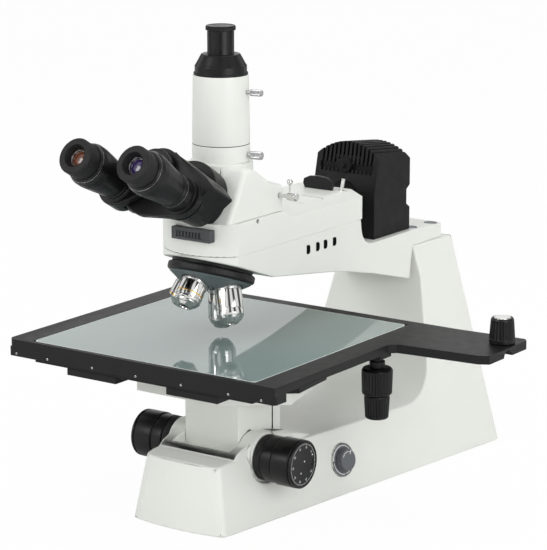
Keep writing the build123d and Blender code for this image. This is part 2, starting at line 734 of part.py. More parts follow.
def lower_plate():
    """Black plate with the two fixed Y rails."""
    half, front, back = LOWER_HALF, LOWER_FRONT_Y, LOWER_BACK_Y
    outline = [(-half, front), (half - 63.0, front), (half + 1.0, front + 51.0), (half - 6.0, back),
               (-half, back)]
    plate = plan_slab(outline, (SUPPORT_TOP_Z, LOWER_TOP_Z))
    low, high = Y_RAIL_X
    plate += block((-high, -low), (front, back), (LOWER_TOP_Z, Y_RAIL_TOP_Z))
    cut = [(low, front + 12.0), (high, front + 46.0), (high, back), (low, back)]
    return plate + plan_slab(cut, (LOWER_TOP_Z, Y_RAIL_TOP_Z))


def moving_y_rails():
    """Two long runners below the middle plate."""
    rails = []
    for side in (-1, 1):
        rails.append(block(mirrored(side, RUNNER_X), (SLIDE_FRONT_Y, SLIDE_BACK_Y), (RUNNER_Z, MIDDLE_Z)))
    return Compound(children=rails)


def middle_plate():
    """Plate of the Y slide with two rails along X, lower at the front for the frame's skirt."""
    body = block((-SLIDE_HALF, SLIDE_HALF), (SLIDE_FRONT_Y, SLIDE_BACK_Y), (MIDDLE_Z, MIDDLE_TOP_Z))
    rebate_z = FRAME_Z - SKIRT_DROP - AIR
    rebate_y = (SLIDE_FRONT_Y - 1.0, FRAME_FRONT_Y + SKIRT_SIDE + 1.5)
    body -= block((-SLIDE_HALF - 7.0, SLIDE_HALF + 7.0), rebate_y, (rebate_z, MIDDLE_TOP_Z + 3.5))
    for side in (-1, 1):
        y = mirrored(side, (X_RAIL_Y - X_RAIL_HALF, X_RAIL_Y + X_RAIL_HALF))
        body += block((-SLIDE_HALF, SLIDE_HALF), y, (MIDDLE_TOP_Z, MIDDLE_TOP_Z + X_RAIL_HEIGHT))
    return body


def drive_neck():
    """Bracket and neck of the coaxial stage drive."""
    x, y = DRIVE_XY
    low = MIDDLE_TOP_Z - NECK_LENGTH
    body = block((SLIDE_HALF, x + 11), (y - 11, y + 11), (MIDDLE_Z + 2.0, MIDDLE_TOP_Z))
    body += post(NECK_R - 2.7, (low + 7.4, MIDDLE_Z + 3.0), DRIVE_XY) + post(NECK_R, (low, low + 7.4),
                                                                             DRIVE_XY)
    body -= post(DRIVE_SLEEVE_R + FIT, (low - 8.6, MIDDLE_TOP_Z - 2.5), DRIVE_XY)
    return body - post(DRIVE_SHAFT_R + FIT, (low - 8.6, MIDDLE_TOP_Z + 3.5), DRIVE_XY)


def y_knob_z():
    """Lower and upper face of the Y drive knob."""
    top = MIDDLE_TOP_Z - NECK_LENGTH - AIR
    return top - Y_KNOB_LENGTH, top


def y_drive_knob():
    """Upper drive knob with its sleeve."""
    low, top = y_knob_z()
    r, bore, sleeve, end = Y_KNOB_R, DRIVE_SHAFT_R + FIT, DRIVE_SLEEVE_R, MIDDLE_TOP_Z - 2.5
    profile = [(bore, low), (r - 1.5, low), (r - 0.6, low + 1.0), (r, low + 21.0), (r, top - 1.8),
               (r - 1.5, top)]
    return Pos(*DRIVE_XY, 0) * turned(profile + [(sleeve, top), (sleeve, end), (bore, end)])


def x_drive_knob():
    """Lower drive knob with its long shaft."""
    top = y_knob_z()[0] - AIR
    low = top - X_KNOB_LENGTH
    r, core, end = X_KNOB_R, DRIVE_SHAFT_R, MIDDLE_TOP_Z - 0.2
    profile = [(0, low), (r - 2.2, low), (r - 1.2, low + 1.0), (r, low + 22.0), (r, top - 1.3),
               (r - 1.0, top)]
    return Pos(*DRIVE_XY, 0) * turned(profile + [(core, top), (core, end), (0, end)])


def frame_plan():
    """Plan of the top frame with its side arm."""
    x, front, back, handle, start = FRAME_HALF_X, FRAME_FRONT_Y, FRAME_BACK_Y, HANDLE_X, HANDLE_FRONT_Y
    points = [(-x, front), (x, front), (x, start), (x + 7.0, start + 7.0), (x + 25.0, start + 9.0)]
    points += [(handle - 11.0, start + 16.0), (handle, start + 22.0), (handle, back - 1.0),
               (handle - 5.0, back + 5.0)]
    return points + [(x + 25.0, back), (-x, back)]


def frame_skirt():
    """Skirt below the frame's front edge, its corners rounded."""
    low, high = FRAME_Z - SKIRT_DROP, FRAME_Z + 1.0
    front, inner = FRAME_FRONT_Y, FRAME_FRONT_Y + SKIRT_THICK
    outer = FRAME_HALF_X
    skirt = block((-outer + 3.0, outer - 3.0), (front, inner), (low, high))
    for side in (-1, 1):
        skirt += block(mirrored(side, (outer - SKIRT_THICK, outer)), (front + 3.0, front + SKIRT_SIDE),
                       (low, high))
        skirt += post(SKIRT_THICK, (low, high), (side * (outer - SKIRT_THICK), inner))
    return skirt


def stage_frame():
    """Top frame with the ledge for the glass, the front skirt and the handle arm."""
    body = plan_slab(frame_plan(), (FRAME_Z + FRAME_PAD, FRAME_TOP_Z))
    body = fillet(body.edges().filter_by(Axis.Z).sort_by(Axis.X)[:2], FRAME_CORNER_R)
    pad = FRAME_HALF_X - 7.0
    body += block((-pad, pad), (FRAME_FRONT_Y + 7.0, FRAME_BACK_Y - 6.0), (FRAME_Z, FRAME_Z + 1.0))
    ledge_z = FRAME_TOP_Z - GLASS_THICK
    body -= block((-GLASS_HALF_X, GLASS_HALF_X), (GLASS_FRONT_Y, GLASS_BACK_Y),
                  (ledge_z, FRAME_TOP_Z + 9.0))
    window = GLASS_HALF_X - GLASS_LEDGE_X
    body -= block((-window, window), (-WINDOW_HALF_Y, WINDOW_HALF_Y), (FRAME_Z - 11.0, FRAME_TOP_Z + 9.0))
    body += frame_skirt()
    notch = (HANDLE_X - HANDLE_NOTCH_R, HANDLE_X + 13.0)
    body -= rod(HANDLE_NOTCH_R, (notch[1], HANDLE_NOTCH_Y, FRAME_Z - 1.0),
                (notch[0], HANDLE_NOTCH_Y, FRAME_Z - 1.0))
    return body - post(CLUTCH_STEM_R + FIT, (FRAME_Z - 11.0, FRAME_TOP_Z + 9.0), CLUTCH_XY)


def stage_glass():
    """Glass plate in the frame."""
    x = GLASS_HALF_X - SLIDE_GAP
    y = (GLASS_FRONT_Y + SLIDE_GAP, GLASS_BACK_Y - SLIDE_GAP)
    return block((-x, x), y, (FRAME_TOP_Z - GLASS_THICK, FRAME_TOP_Z))


def clutch_knob():
    """Clutch knob on the frame's arm with its stem and cap."""
    stem, r, cap = CLUTCH_STEM_R, CLUTCH_R, CLUTCH_CAP_R
    low = FRAME_TOP_Z + SLIDE_GAP
    top = low + CLUTCH_HEIGHT
    knob = turned([(0, FRAME_Z + 0.8), (stem, FRAME_Z + 0.8), (stem, low), (r, low), (r, low + 4.6),
                   (r - 1.5, top - 2.0),
                   (r - 2.4, top), (cap, top), (cap, top - 1.0), (0, top - 1.0)])
    knob += turned([(0, top - 1.0), (cap, top - 1.0), (cap, top + 0.2), (cap - 0.8, top + 0.8),
                    (0, top + 0.8)])
    return Pos(*CLUTCH_XY, 0) * knob


def arm_plan(half, back, z):
    """The arm's plan with its bowed front, between two heights."""
    side = ARM_NOSE_Y - math.sqrt(ARM_NOSE_R ** 2 - half ** 2)
    nose = ThreePointArc((-half, side), (0, ARM_NOSE_Y - ARM_NOSE_R), (half, side))
    lines = Polyline((half, side), (half, back), (-half, back), (-half, side))
    face = make_face([nose, lines])
    return Pos(0, 0, z[0]) * extrude(face, amount=z[1] - z[0])


def nose_face_z(y):
    """Height of the slanting face that carries the nosepiece, at a depth."""
    tilt = math.radians(TURRET_TILT)
    return APEX_Z - (MOUNT_S + y * math.sin(tilt)) / math.cos(tilt)


def arm_casting():
    """Lower half of the arm with the nosepiece face, the vents and the rear block."""
    drops = ((79, 41.5), (138, 50.0), (169, 55.4), (225, 68.0), (263, 78.0), (303, 89.0), (306, 70.0))
    front = ARM_NOSE_Y - ARM_NOSE_R - 19.0
    under = [(front, nose_face_z(front)), (25, nose_face_z(25))] + [(y, SEAM_Z - drop) for y, drop in drops]
    rear = [(COLUMN_FRONT_Y, COLUMN_TOP_Z), (ARM_BACK_Y, COLUMN_TOP_Z), (ARM_BACK_Y, DECK_Z - 3.0),
            (LAMP_Y[1] + 2.0, DECK_Z)]
    swoop = quarter((SWOOP_Y, SEAM_Z - 10.0), (24.0, 22.0), -90.0, 7)
    swoop = [(2 * SWOOP_Y - y, z) for y, z in swoop]
    outline = under + rear + [(SWOOP_Y, DECK_Z)] + swoop + [(SWOOP_Y - 25.5, SEAM_Z), (front, SEAM_Z)]
    body = side_slab(outline, (-ARM_HALF - 10.0, ARM_HALF + 10.0))
    body &= arm_plan(ARM_HALF, ARM_BACK_Y, (COLUMN_TOP_Z - 48.0, SEAM_Z + 1.0))
    body = fillet(body.edges().filter_by(Axis.Z).sort_by(Axis.Y)[-2:], 10)
    inner = ARM_HALF - 11.0
    body -= block((-inner, inner), (34, 190), (SEAM_Z - 22.0, SEAM_Z + 1.0))
    body -= post(LIGHT_BORE_R, (COLUMN_TOP_Z, SEAM_Z + 1.0))
    for y in VENT_Y:
        body -= block((inner - 3.0, ARM_HALF + 2.0), (y - 2.6, y + 2.6), (SEAM_Z - 20.5, SEAM_Z - 11.5))
    for place in plug_places():
        body -= post(PLUG_R + PLUG_GAP, (COLUMN_TOP_Z + 7.0, DECK_Z + 13.0), place)
    return body


def plug_places():
    """Plan of the four bolt holes in the arm's rear block."""
    return [(x, y) for y in PLUG_Y for x in (-PLUG_X, PLUG_X)]


def bolt_plugs():
    """Grey caps over the arm's four bolts."""
    fall = 3.0 / (ARM_BACK_Y - LAMP_Y[1] - 2.0)
    plugs = []
    for x, y in plug_places():
        top = DECK_Z - (y - LAMP_Y[1] - 2.0) * fall + 0.2
        plugs.append(post(PLUG_R, (COLUMN_TOP_Z + 7.0, top), (x, y)))
    return Compound(children=plugs)


def arm_cover():
    """Upper half of the arm: illuminator cover with lever slots and the head's seat."""
    roof = HEAD_BASE_Z - COVER_ROOF_DROP
    shoulder = HEAD_BASE_Z - COVER_SHOULDER
    half, inner = ARM_HALF, ARM_HALF - COVER_WALL
    body = arm_plan(half, 45, (SEAM_Z, HEAD_BASE_Z))
    section = [(-half, SEAM_Z), (half, SEAM_Z), (half, shoulder), (half - 15.0, roof),
               (15.0 - half, roof), (-half, shoulder)]
    body += front_slab(section, (44, COVER_BACK_Y))
    body += side_slab([(44, shoulder - 5.0), (44, HEAD_BASE_Z), (50, HEAD_BASE_Z - 1.5),
                       (66, shoulder - 5.0)], (-half, half))
    body -= block((-inner, inner), (30, COVER_BACK_Y - COVER_WALL), (SEAM_Z - 1, shoulder))
    body -= post(LIGHT_BORE_R, (SEAM_Z - 1, HEAD_BASE_Z + 6.0))
    body -= post(HEAD_FOOT_R + 0.2, (HEAD_BASE_Z - 7.0, HEAD_BASE_Z + 6.0))
    body -= block((-38, 38), (-30, 32), (SEAM_Z - 1, SEAM_Z + 15.0))
    body -= lever_slots(shoulder - 5.0)
    body -= slider_groove()
    return body - rod(2.4, (half - 6.0, -3, HEAD_BASE_Z - 3.0), (half + 2.0, -3, HEAD_BASE_Z - 3.0))


def lever_slots(low):
    """Openings of the cover's roof that the levers move in, with two printed grooves."""
    high = HEAD_BASE_Z + 6.0
    x, y = LEVER_XY
    cuts = block((x - 2.0, x + 45.0), (y - 1.4, y + 1.4), (low, high))
    cuts += block((TAB_X - 18.6, TAB_X + 18.6), (TAB_Y - 1.4, TAB_Y + 1.4), (low, high))
    cuts += block((23.5, 36.5), (FLAT_Y - 1.4, FLAT_Y + 1.4), (low, high))
    cuts += block((18.4, 35.6), (103.6, 105.8), (HEAD_BASE_Z - 4.0, high))
    return cuts + block((-9.7, 24.5), (170, 172), (HEAD_BASE_Z - 4.0, high))


def slider_groove():
    """Groove in the arm's nose that the filter slider runs in."""
    x = (SLIDER_X[0] - 13.0, SLIDER_X[1] + 13.0)
    z = (SLIDER_Z[0] - SLIDE_GAP, SLIDER_Z[1] + SLIDE_GAP)
    return block(x, (-70, -50), z) - block(x, (-57, -40), (z[0] - 1.0, z[1] + 6.0))


def front_slider():
    """Sliding grip of the filter carrier at the arm's nose."""
    x, z = SLIDER_X, SLIDER_Z
    grip = block(x, (-66.5, -57.3), z)
    grip -= block((x[0] + 6.0, x[1] - 6.0), (-67, -65), (z[0] + 3.0, z[1] - 3.0))
    return grip + block((x[1] - 11.0, x[1] - 6.0), (-66.3, -64), (z[0] + 3.0, z[1] - 3.0))


def lever_pin():
    """Silver aperture lever with its ball."""
    x, y = LEVER_XY
    low = HEAD_BASE_Z - COVER_SHOULDER - 0.3
    body = rod(1.1, (x, y, low - 1.7), (x, y, HEAD_BASE_Z + 9.0)) + block((x - 4, x + 4),
                                                                          (y - 5, y + 5), (low - 3.2, low))
    return body + Pos(x, y, HEAD_BASE_Z + 10.5) * Sphere(3.4)


def filter_tab():
    """Black thumb tab of the filter shutter."""
    base = HEAD_BASE_Z - COVER_ROOF_DROP + AIR
    rises = ((-18.5, 0), (17.5, 0), (19.9, 5.2), (18.5, 10.2), (11, 13.6), (-0.5, 14.6), (-12, 13.6),
             (-19.2, 10.2), (-20.5, 5.2))
    tab = front_slab([(TAB_X + x, base + z) for x, z in rises], (TAB_Y - 2.5, TAB_Y + 2.5))
    tab += block((TAB_X - 18, TAB_X + 18), (TAB_Y - 1, TAB_Y + 1), (SEAM_Z + 1.0, base + 2.2))
    return tab - rod(12, (TAB_X, TAB_Y - 11, SEAM_Z + 14.0), (TAB_X, TAB_Y + 9, SEAM_Z + 14.0))


def flat_lever():
    """Flat silver lever of the field diaphragm, leaning to the right."""
    low, high = SEAM_Z + 20.0, SEAM_Z + 46.0
    lever = front_slab([(25.2, low), (29.2, low), (34.5, high), (30.5, high)], (FLAT_Y - 0.8, FLAT_Y + 0.8))
    return lever + rod(2.5, (27.2, FLAT_Y - 4.0, low + 0.5),
                       (27.2, COVER_BACK_Y - COVER_WALL - 0.1, low + 0.5))


def lamp_section(drop):
    """Section of the lamp house in X and Z with its arched top, lowered by a drop."""
    top = DECK_Z + LAMP_HEIGHT - drop
    half = LAMP_HALF
    base = Polyline((-half, top - LAMP_ARCH), (-half, DECK_Z), (half, DECK_Z), (half, top - LAMP_ARCH))
    arch = ThreePointArc((half, top - LAMP_ARCH), (0, top), (-half, top - LAMP_ARCH))
    return make_face([base, arch])


def lamp_outline():
    """The lamp house seen from its side: leaning front, and a finger hollow at the back."""
    front, back = LAMP_Y
    low, top = DECK_Z - 1.0, DECK_Z + LAMP_HEIGHT + 3.0
    hollow = [(back, DECK_Z + 54.0), (back - 9.0, DECK_Z + 48.0), (back - 9.0, DECK_Z + 31.0),
              (back, DECK_Z + 25.0)]
    lean = [(front, low), (front, DECK_Z + 47.0), (front + 11.0, DECK_Z + 95.0), (front + 14.0, top)]
    return lean + [(back, top)] + hollow + [(back, low)]


def lamp_house():
    """Finned housing of the lamp, hollow for the lamp, with its socket inside."""
    front, back = LAMP_Y
    top = DECK_Z + LAMP_HEIGHT
    shell = loft([Plane.XZ.offset(-front - 1.5) * lamp_section(0),
                  Plane.XZ.offset(2.0 - back) * lamp_section(9)])
    shell &= side_slab(lamp_outline(), (-LAMP_HALF - 8.0, LAMP_HALF + 8.0))
    inner = LAMP_HALF - LAMP_WALL
    shell -= block((-inner, inner), (front + 7.0, back - 16.0), (DECK_Z + 5.0, top - 27.0))
    for index in range(FIN_COUNT):
        x = (index - (FIN_COUNT - 1) / 2) * FIN_PITCH
        slot = (x - FIN_GAP / 2, x + FIN_GAP / 2)
        floor = top - 18.0 if abs(x) < 20 else top - 23.0
        shell -= block(slot, (front - 6.0, back + 4.0), (floor, top + 3.0))
        shell -= block(slot, (front - 6.0, front + 11.5), (top - 37.0, top + 3.0))
    shell -= rod(LAMP_TUBE_R + PLUG_GAP, (0, front - 6.0, LAMP_AXIS_Z), (0, front + 9.0, LAMP_AXIS_Z))
    boss_z = top - 28.0
    shell += rod(9, (-2, front + 4.0, boss_z), (-2, front + 16.0, boss_z))
    shell += rod(3, (-2, front, boss_z), (-2, front + 5.0, boss_z))
    return shell + lamp_socket()


def lamp_collar():
    """Tube between the illuminator and the lamp house."""
    start, end = COVER_BACK_Y, LAMP_Y[0] + 7.4
    tube = rod(LAMP_TUBE_R, (0, start, LAMP_AXIS_Z), (0, end, LAMP_AXIS_Z))
    tube += rod(LAMP_TUBE_R + 4.1, (0, start, LAMP_AXIS_Z), (0, start + 3.0, LAMP_AXIS_Z))
    tube &= block((-30, 30), (start - 5.0, end + 6.6), (LAMP_AXIS_Z - 22.0, LAMP_AXIS_Z + 19.0))
    return tube - rod(LIGHT_BORE_R, (0, start - 1.0, LAMP_AXIS_Z), (0, end + 1.6, LAMP_AXIS_Z))


def lamp_socket():
    """Socket and bracket of the lamp, part of the house."""
    middle = LAMP_Y[0] + 37.0
    floor = DECK_Z + 5.0
    socket = block((-12, 12), (middle - 11, middle + 11), (floor, floor + 20.0))
    socket += block((-20, 20), (middle - 17, middle + 17), (floor - 2.0, floor + 2.0))
    return socket - post(4, (floor + 18.0, floor + 21.0), (0, middle))


def lamp_bulb():
    """Halogen lamp in its socket."""
    foot = DECK_Z + 23.0
    outline = ((0, 0), (4, 0), (4, 10), (6.5, 14), (6.5, 28), (4, 33), (0, 34.5))
    return Pos(0, LAMP_Y[0] + 37.0, 0) * turned([(radius, foot + rise) for radius, rise in outline])


def nosepiece_mount():
    """Fixed disc below the arm that the turret turns on."""
    face = MOUNT_S + MOUNT_THICK
    end = face + RIM_THICK + 2.0
    disc = [(LIGHT_R, MOUNT_S), (MOUNT_R, MOUNT_S), (MOUNT_R, face), (SPIGOT_R, face), (SPIGOT_R, end),
            (LIGHT_R, end)]
    return TURRET * turned(disc) - post(7, (APEX_Z - 74.2, APEX_Z - 24.2))


def rim_s():
    """Where the turning rim starts and ends along the nosepiece's axis."""
    start = MOUNT_S + MOUNT_THICK + 0.4
    return start, start + RIM_THICK


def turret_rim():
    """Knurled black rim of the nosepiece."""
    start, end = rim_s()
    bore, r = TURRET_BORE_R, RIM_R
    profile = [(bore, start), (r - 3.0, start), (r - 1.1, start + 0.6), (r, start + 2.2), (r, end - 2.4)]
    return TURRET * turned(profile + [(r - 1.1, end - 0.4), (r - 2.9, end), (bore, end)])


def turret_body():
    """Grey cone with the four objective seats."""
    start, end = rim_s()
    core = TURRET_BORE_R
    places = [objective_place(index) for index in range(OBJECTIVE_COUNT)]
    cone = [(0, end), (core + 14.0, end), (core + 13.0, end + 1.6), (core + 5.5, end + 6.6),
            (core, end + 11.1)]
    body = TURRET * turned(cone + [(12, end + 13.6), (0, end + 13.6)])
    for place in places:
        body += place * between(SEAT_R, end - 4.4, SEAT_S)
    body &= TURRET * between(core + 14.0, end, end + 29.6)
    body += TURRET * between(core, start, end)
    for place in places:
        body -= place * between(THREAD_R, MOUNT_S + 0.8, SEAT_S + 9.5)
        body -= place * between(SEAT_R + 0.2, SEAT_S, SEAT_S + 24.5)
    return body - TURRET * between(SPIGOT_R + FIT, start - 0.8, end + 2.6)


def objective_place(index):
    """Where one objective stands. The first is on the optical axis."""
    swing = math.radians(90 + 360 / OBJECTIVE_COUNT * index)
    tilt = math.radians(OBJECTIVE_TILT)
    out = math.sin(tilt)
    local = Vector(-out * math.cos(swing), -out * math.sin(swing), math.cos(tilt))
    axis = TURRET.x_dir * local.X + TURRET.y_dir * local.Y + TURRET.z_dir * local.Z
    return Plane(origin=TURRET.origin, z_dir=axis)


def objective(index):
    """One objective on its seat: thread, straight barrel, short nose and the hollow of its front lens."""
    end, barrel, lens = OBJECTIVE_ENDS[index], BARREL_ENDS[index], LENS_RS[index]
    thread, hollow = SEAT_S - THREAD_LENGTH, end - LENS_DEPTHS[index]
    profile = [(0, thread), (THREAD_R, thread), (THREAD_R, SEAT_S), (BARREL_R - 0.6, SEAT_S)]
    profile += [(BARREL_R, SEAT_S + 1.5), (BARREL_R, barrel),
                (SHOULDER_RS[index], barrel + 0.6 * (end - barrel))]
    profile += [(TIP_RS[index], end), (lens, end), (lens, hollow), (0, hollow)]
    return objective_place(index) * turned(profile)


def front_lenses():
    """The four front lenses."""
    lenses = []
    for index in range(OBJECTIVE_COUNT):
        seat = OBJECTIVE_ENDS[index] - LENS_DEPTHS[index]
        lenses.append(objective_place(index) * between(LENS_RS[index], seat, seat + LENS_THICK))
    return Compound(children=lenses)


def hinge_y(z):
    """Depth of the head's slanting face at a height: the plane behind the hinge disc."""
    tilt = math.radians(EYE_TILT)
    return EYE_POINT[1] + (HUB_S[1] + (z - EYE_POINT[2]) * math.sin(tilt)) / math.cos(tilt)


def head_body():
    """White trinocular prism body with its round foot."""
    base, top = HEAD_BASE_Z, HEAD_BASE_Z + HEAD_TOP
    brow = top - 1.7
    outline = [(hinge_y(base), base), (hinge_y(brow), brow), (hinge_y(brow) + 3.5, top), (-5, top),
               (24, top - 18.0)]
    outline += [(HEAD_BACK_Y, top - 26.0), (HEAD_BACK_Y, base)]
    body = side_slab(outline, (-HEAD_HALF, HEAD_HALF))
    upper = [edge for edge in body.edges() if edge.center().Z > base + 11.0]
    edges = [edge for edge in upper if abs(edge.center().X) > HEAD_HALF - 7.5]
    body = fillet(edges, HEAD_EDGE_R)
    body += post(TUBE_BOSS_R, (TUBE_Z - 20.0, TUBE_Z))
    bore, foot = HEAD_BORE_R, HEAD_FOOT_R
    body += turned([(bore, base - 7.0), (foot, base - 7.0), (foot, base + 1.0), (bore, base + 1.0)])
    body -= post(bore, (base - 14.0, TUBE_Z + 1.0))
    return body - rod(ROD_R + FIT, (20, *ROD_YZ), (HEAD_HALF + 2.5, *ROD_YZ))


def photo_tube():
    """White phototube with its lower ring."""
    bore, r, joint = TUBE_BORE_R, TUBE_R, TUBE_Z + RING_HEIGHT
    profile = [(bore, TUBE_Z), (r, TUBE_Z), (r, joint), (r - 0.4, joint + 0.4), (r - 0.2, joint + 0.8)]
    tube = turned(profile + [(TUBE_TOP_R, TUBE_TOP_Z), (bore, TUBE_TOP_Z)])
    for z in (UPPER_SCREW_Z, LOWER_SCREW_Z):
        tube -= clamp_plane(z) * between(SCREW_R + FIT, 0.0, 12.0)
    return tube


def clamp_plane(z):
    """Plane whose Z axis points out of the phototube along a clamp screw."""
    turn = math.radians(SCREW_TURN)
    start = TUBE_BORE_R - 2.0
    place = (start * math.cos(turn), start * math.sin(turn), z)
    return Plane(origin=place, z_dir=(math.cos(turn), math.sin(turn), 0))


def clamp_screw(z, head_r):
    """Knurled clamp screw of the phototube."""
    head, end = 13.0, 26.5
    profile = [(0, 2.2), (SCREW_R, 2.2), (SCREW_R, head), (head_r, head), (head_r, end - 1.5),
               (head_r - 0.6, end), (0, end)]
    return clamp_plane(z) * turned(profile)


def camera_sleeve():
    """Black collar, cone and sleeve that take a camera."""
    low, cone = TUBE_TOP_Z, TUBE_TOP_Z + CONE_HEIGHT
    inner = PORT_BORE_R - 2.05
    profile = [(PORT_BORE_R, cone - 6.0), (PORT_BORE_R, PORT_TOP_Z), (PORT_R, PORT_TOP_Z), (PORT_R, cone)]
    profile += [(TUBE_TOP_R - 9.1, cone), (TUBE_TOP_R - 3.2, cone - 11.0),
                (TUBE_TOP_R - 1.9, cone - 13.0), (TUBE_TOP_R - 1.9, low + 2.6)]
    profile += [(TUBE_TOP_R - 0.7, low + 2.0), (TUBE_TOP_R - 0.7, low), (inner, low), (inner, cone - 6.0)]
    return turned(profile)


def photo_cap():
    """Dust cap plugged in the sleeve."""
    plug, top = PORT_BORE_R - FIT, PORT_TOP_Z + CAP_THICK
    rest = PORT_TOP_Z + 0.2
    return turned([(0, PORT_TOP_Z - CAP_PLUG), (plug, PORT_TOP_Z - CAP_PLUG), (plug, rest),
                   (CAP_R, rest), (CAP_R, top - 1.0),
                   (CAP_R - 0.8, top), (0, top)])


def pull_rod():
    """Beam selector rod in the head's side."""
    end = HEAD_HALF + 23.5
    return rod(ROD_R, (24, *ROD_YZ), (end - 11.0, *ROD_YZ)) + rod(ROD_R + 2.0, (end - 13.0, *ROD_YZ),
                                                                  (end, *ROD_YZ))


def hull_plate(circles, s):
    """A plate across the eyepiece axis round circles given as x, y and radius."""
    faces = [Pos(x, y) * Circle(radius) for x, y, radius in circles]
    outline = make_hull(Sketch(children=faces).edges())
    return Pos(0, 0, -s[1]) * extrude(outline, amount=s[1] - s[0])


def across(radius, s, x=0.0, y=0.0):
    """A cylinder along the eyepiece axis in the eyes' frame."""
    return Pos(x, y, 0) * between(radius, -s[1], -s[0])


def on_hinge(radius, s):
    """A cylinder about the binocular's hinge, which lies above the eyepieces."""
    return across(radius, s, 0.0, HINGE_RISE)


def bino_hub():
    """Fixed hinge disc of the binocular with its neck and pivot, cut clear of the cover and the phototube."""
    neck = (RIGHT_WING_S[1] + 1.0, HUB_S[0])
    disc = on_hinge(HUB_R, HUB_S) + on_hinge(HINGE_R, neck) + on_hinge(PIVOT_R,
                                                                       (LEFT_WING_S[0] - 1.5, neck[0]))
    disc = EYES * (disc & block((-60, 60), (HUB_FLAT_Y, 80), (-200, 0)))
    nose = ARM_NOSE_Y - ARM_NOSE_R - 9.5
    disc -= block((-60, 60), (nose, 0), (HEAD_BASE_Z - 84.0, HEAD_BASE_Z + AIR))
    return disc - post(TUBE_BOSS_R + AIR, (TUBE_Z - 22.0, TUBE_Z + 8.0))


def left_wing():
    """Left swinging prism housing: a plate across the hinge and a shell behind its tube."""
    start, end = LEFT_WING_S
    x, belly = -EYE_HALF_SPACING, BELLY_S[1] + 1.0
    neck = math.hypot(x, HINGE_RISE) - EYE_NECK_R - SWING_GAP
    swept = math.hypot(BELLY[0], HINGE_RISE - BELLY[1]) + BELLY[2] + SWING_GAP
    body = hull_plate([(0, HINGE_RISE, neck), (x, 0, WING_END_R)], LEFT_WING_S)
    body += across(EYE_NECK_R, (TUBE_END_S, start + 1.0), x)
    body += across(WING_END_R, (end - 1.0, belly), x) - on_hinge(swept, (end, belly + 1.0))
    shell = across(WING_BACK_R - 2.0, (belly - 1.0, belly + 25.0), x)
    body += shell - on_hinge(HINGE_R + SWING_GAP, (belly - 2.0, belly + 26.0))
    body -= on_hinge(PIVOT_R + FIT, (start - 1.0, end + 1.0))
    return EYES * (body - across(EYE_BORE_R + 2.0, (TUBE_END_S - 1.0, end - 2.0), x))


def right_wing():
    """Right swinging prism housing: a cornered shell round its tube and a plate below the hinge."""
    start, end = RIGHT_WING_S
    x = EYE_HALF_SPACING
    body = hull_plate([(0, HINGE_RISE, HINGE_R), (x, 0, WING_BACK_R), *WING_CORNER], (start + 3.0, end))
    cone = turned([(0, -end), (WING_BACK_R, -end), (WING_END_R, -start), (0, -start)])
    body += Pos(x, 0, 0) * cone
    body += hull_plate([(0, HINGE_RISE, HINGE_R), (x, 0, WING_END_R), BELLY], BELLY_S)
    body += across(EYE_NECK_R, (TUBE_END_S, start + 1.0), x)
    body -= on_hinge(PIVOT_R + FIT, (start - 1.0, end + 1.0))
    return EYES * (body - across(EYE_BORE_R + 2.0, (TUBE_END_S - 1.0, start + 30.0), x))


def eye_tube(side):
    """Eyepiece tube of one wing, swelling to its focusing ring."""
    bore, r, neck, base = EYE_BORE_R, EYE_RING_R, EYE_NECK_R, -TUBE_END_S
    profile = [(bore, base), (neck, base), (neck, base + 4.0), (neck - 0.8, base + 4.6),
               (neck - 0.8, base + 6.0), (neck, base + 6.6)]
    profile += [(neck + 1.2, base + 16.0), (r - 1.4, base + 31.0), (r, base + 43.0), (r, base + 51.0),
                (r - 1.6, base + 55.4)]
    tube = turned(profile + [(r - 3.4, -EYE_RING_S), (bore, -EYE_RING_S)])
    sleeve = bore + 2.0
    tube += turned([(bore, base - 9.5), (sleeve, base - 9.5), (sleeve, base + 1.0), (bore, base + 1.0)])
    return EYES * Pos(side * EYE_HALF_SPACING, 0, 0) * tube


def eyepiece(side):
    """Eyepiece barrel of one tube, with a wide flat face round its funnel."""
    rest = -EYE_RING_S
    plug, r, bore = EYE_BORE_R - 0.1, EYEPIECE_R, EYE_LENS_R
    profile = [(bore + 2.4, -0.4), (bore + 3.0, 0), (r - 1.4, 0), (r, -1.6), (r, -12.6),
               (r - 0.5, -13.2), (r - 0.5, rest)]
    profile += [(plug, rest), (plug, rest - 38.0), (bore, rest - 38.0), (bore, -8.5)]
    return EYES * Pos(side * EYE_HALF_SPACING, 0, 0) * turned(profile)


def eye_lens(side):
    """Eye lens of one eyepiece."""
    r = EYE_LENS_R
    lens = turned([(0, -8.0), (r * 0.5, -8.6), (r, -10.4), (r, -14.0), (0, -14.0)])
    return EYES * Pos(side * EYE_HALF_SPACING, 0, 0) * lens


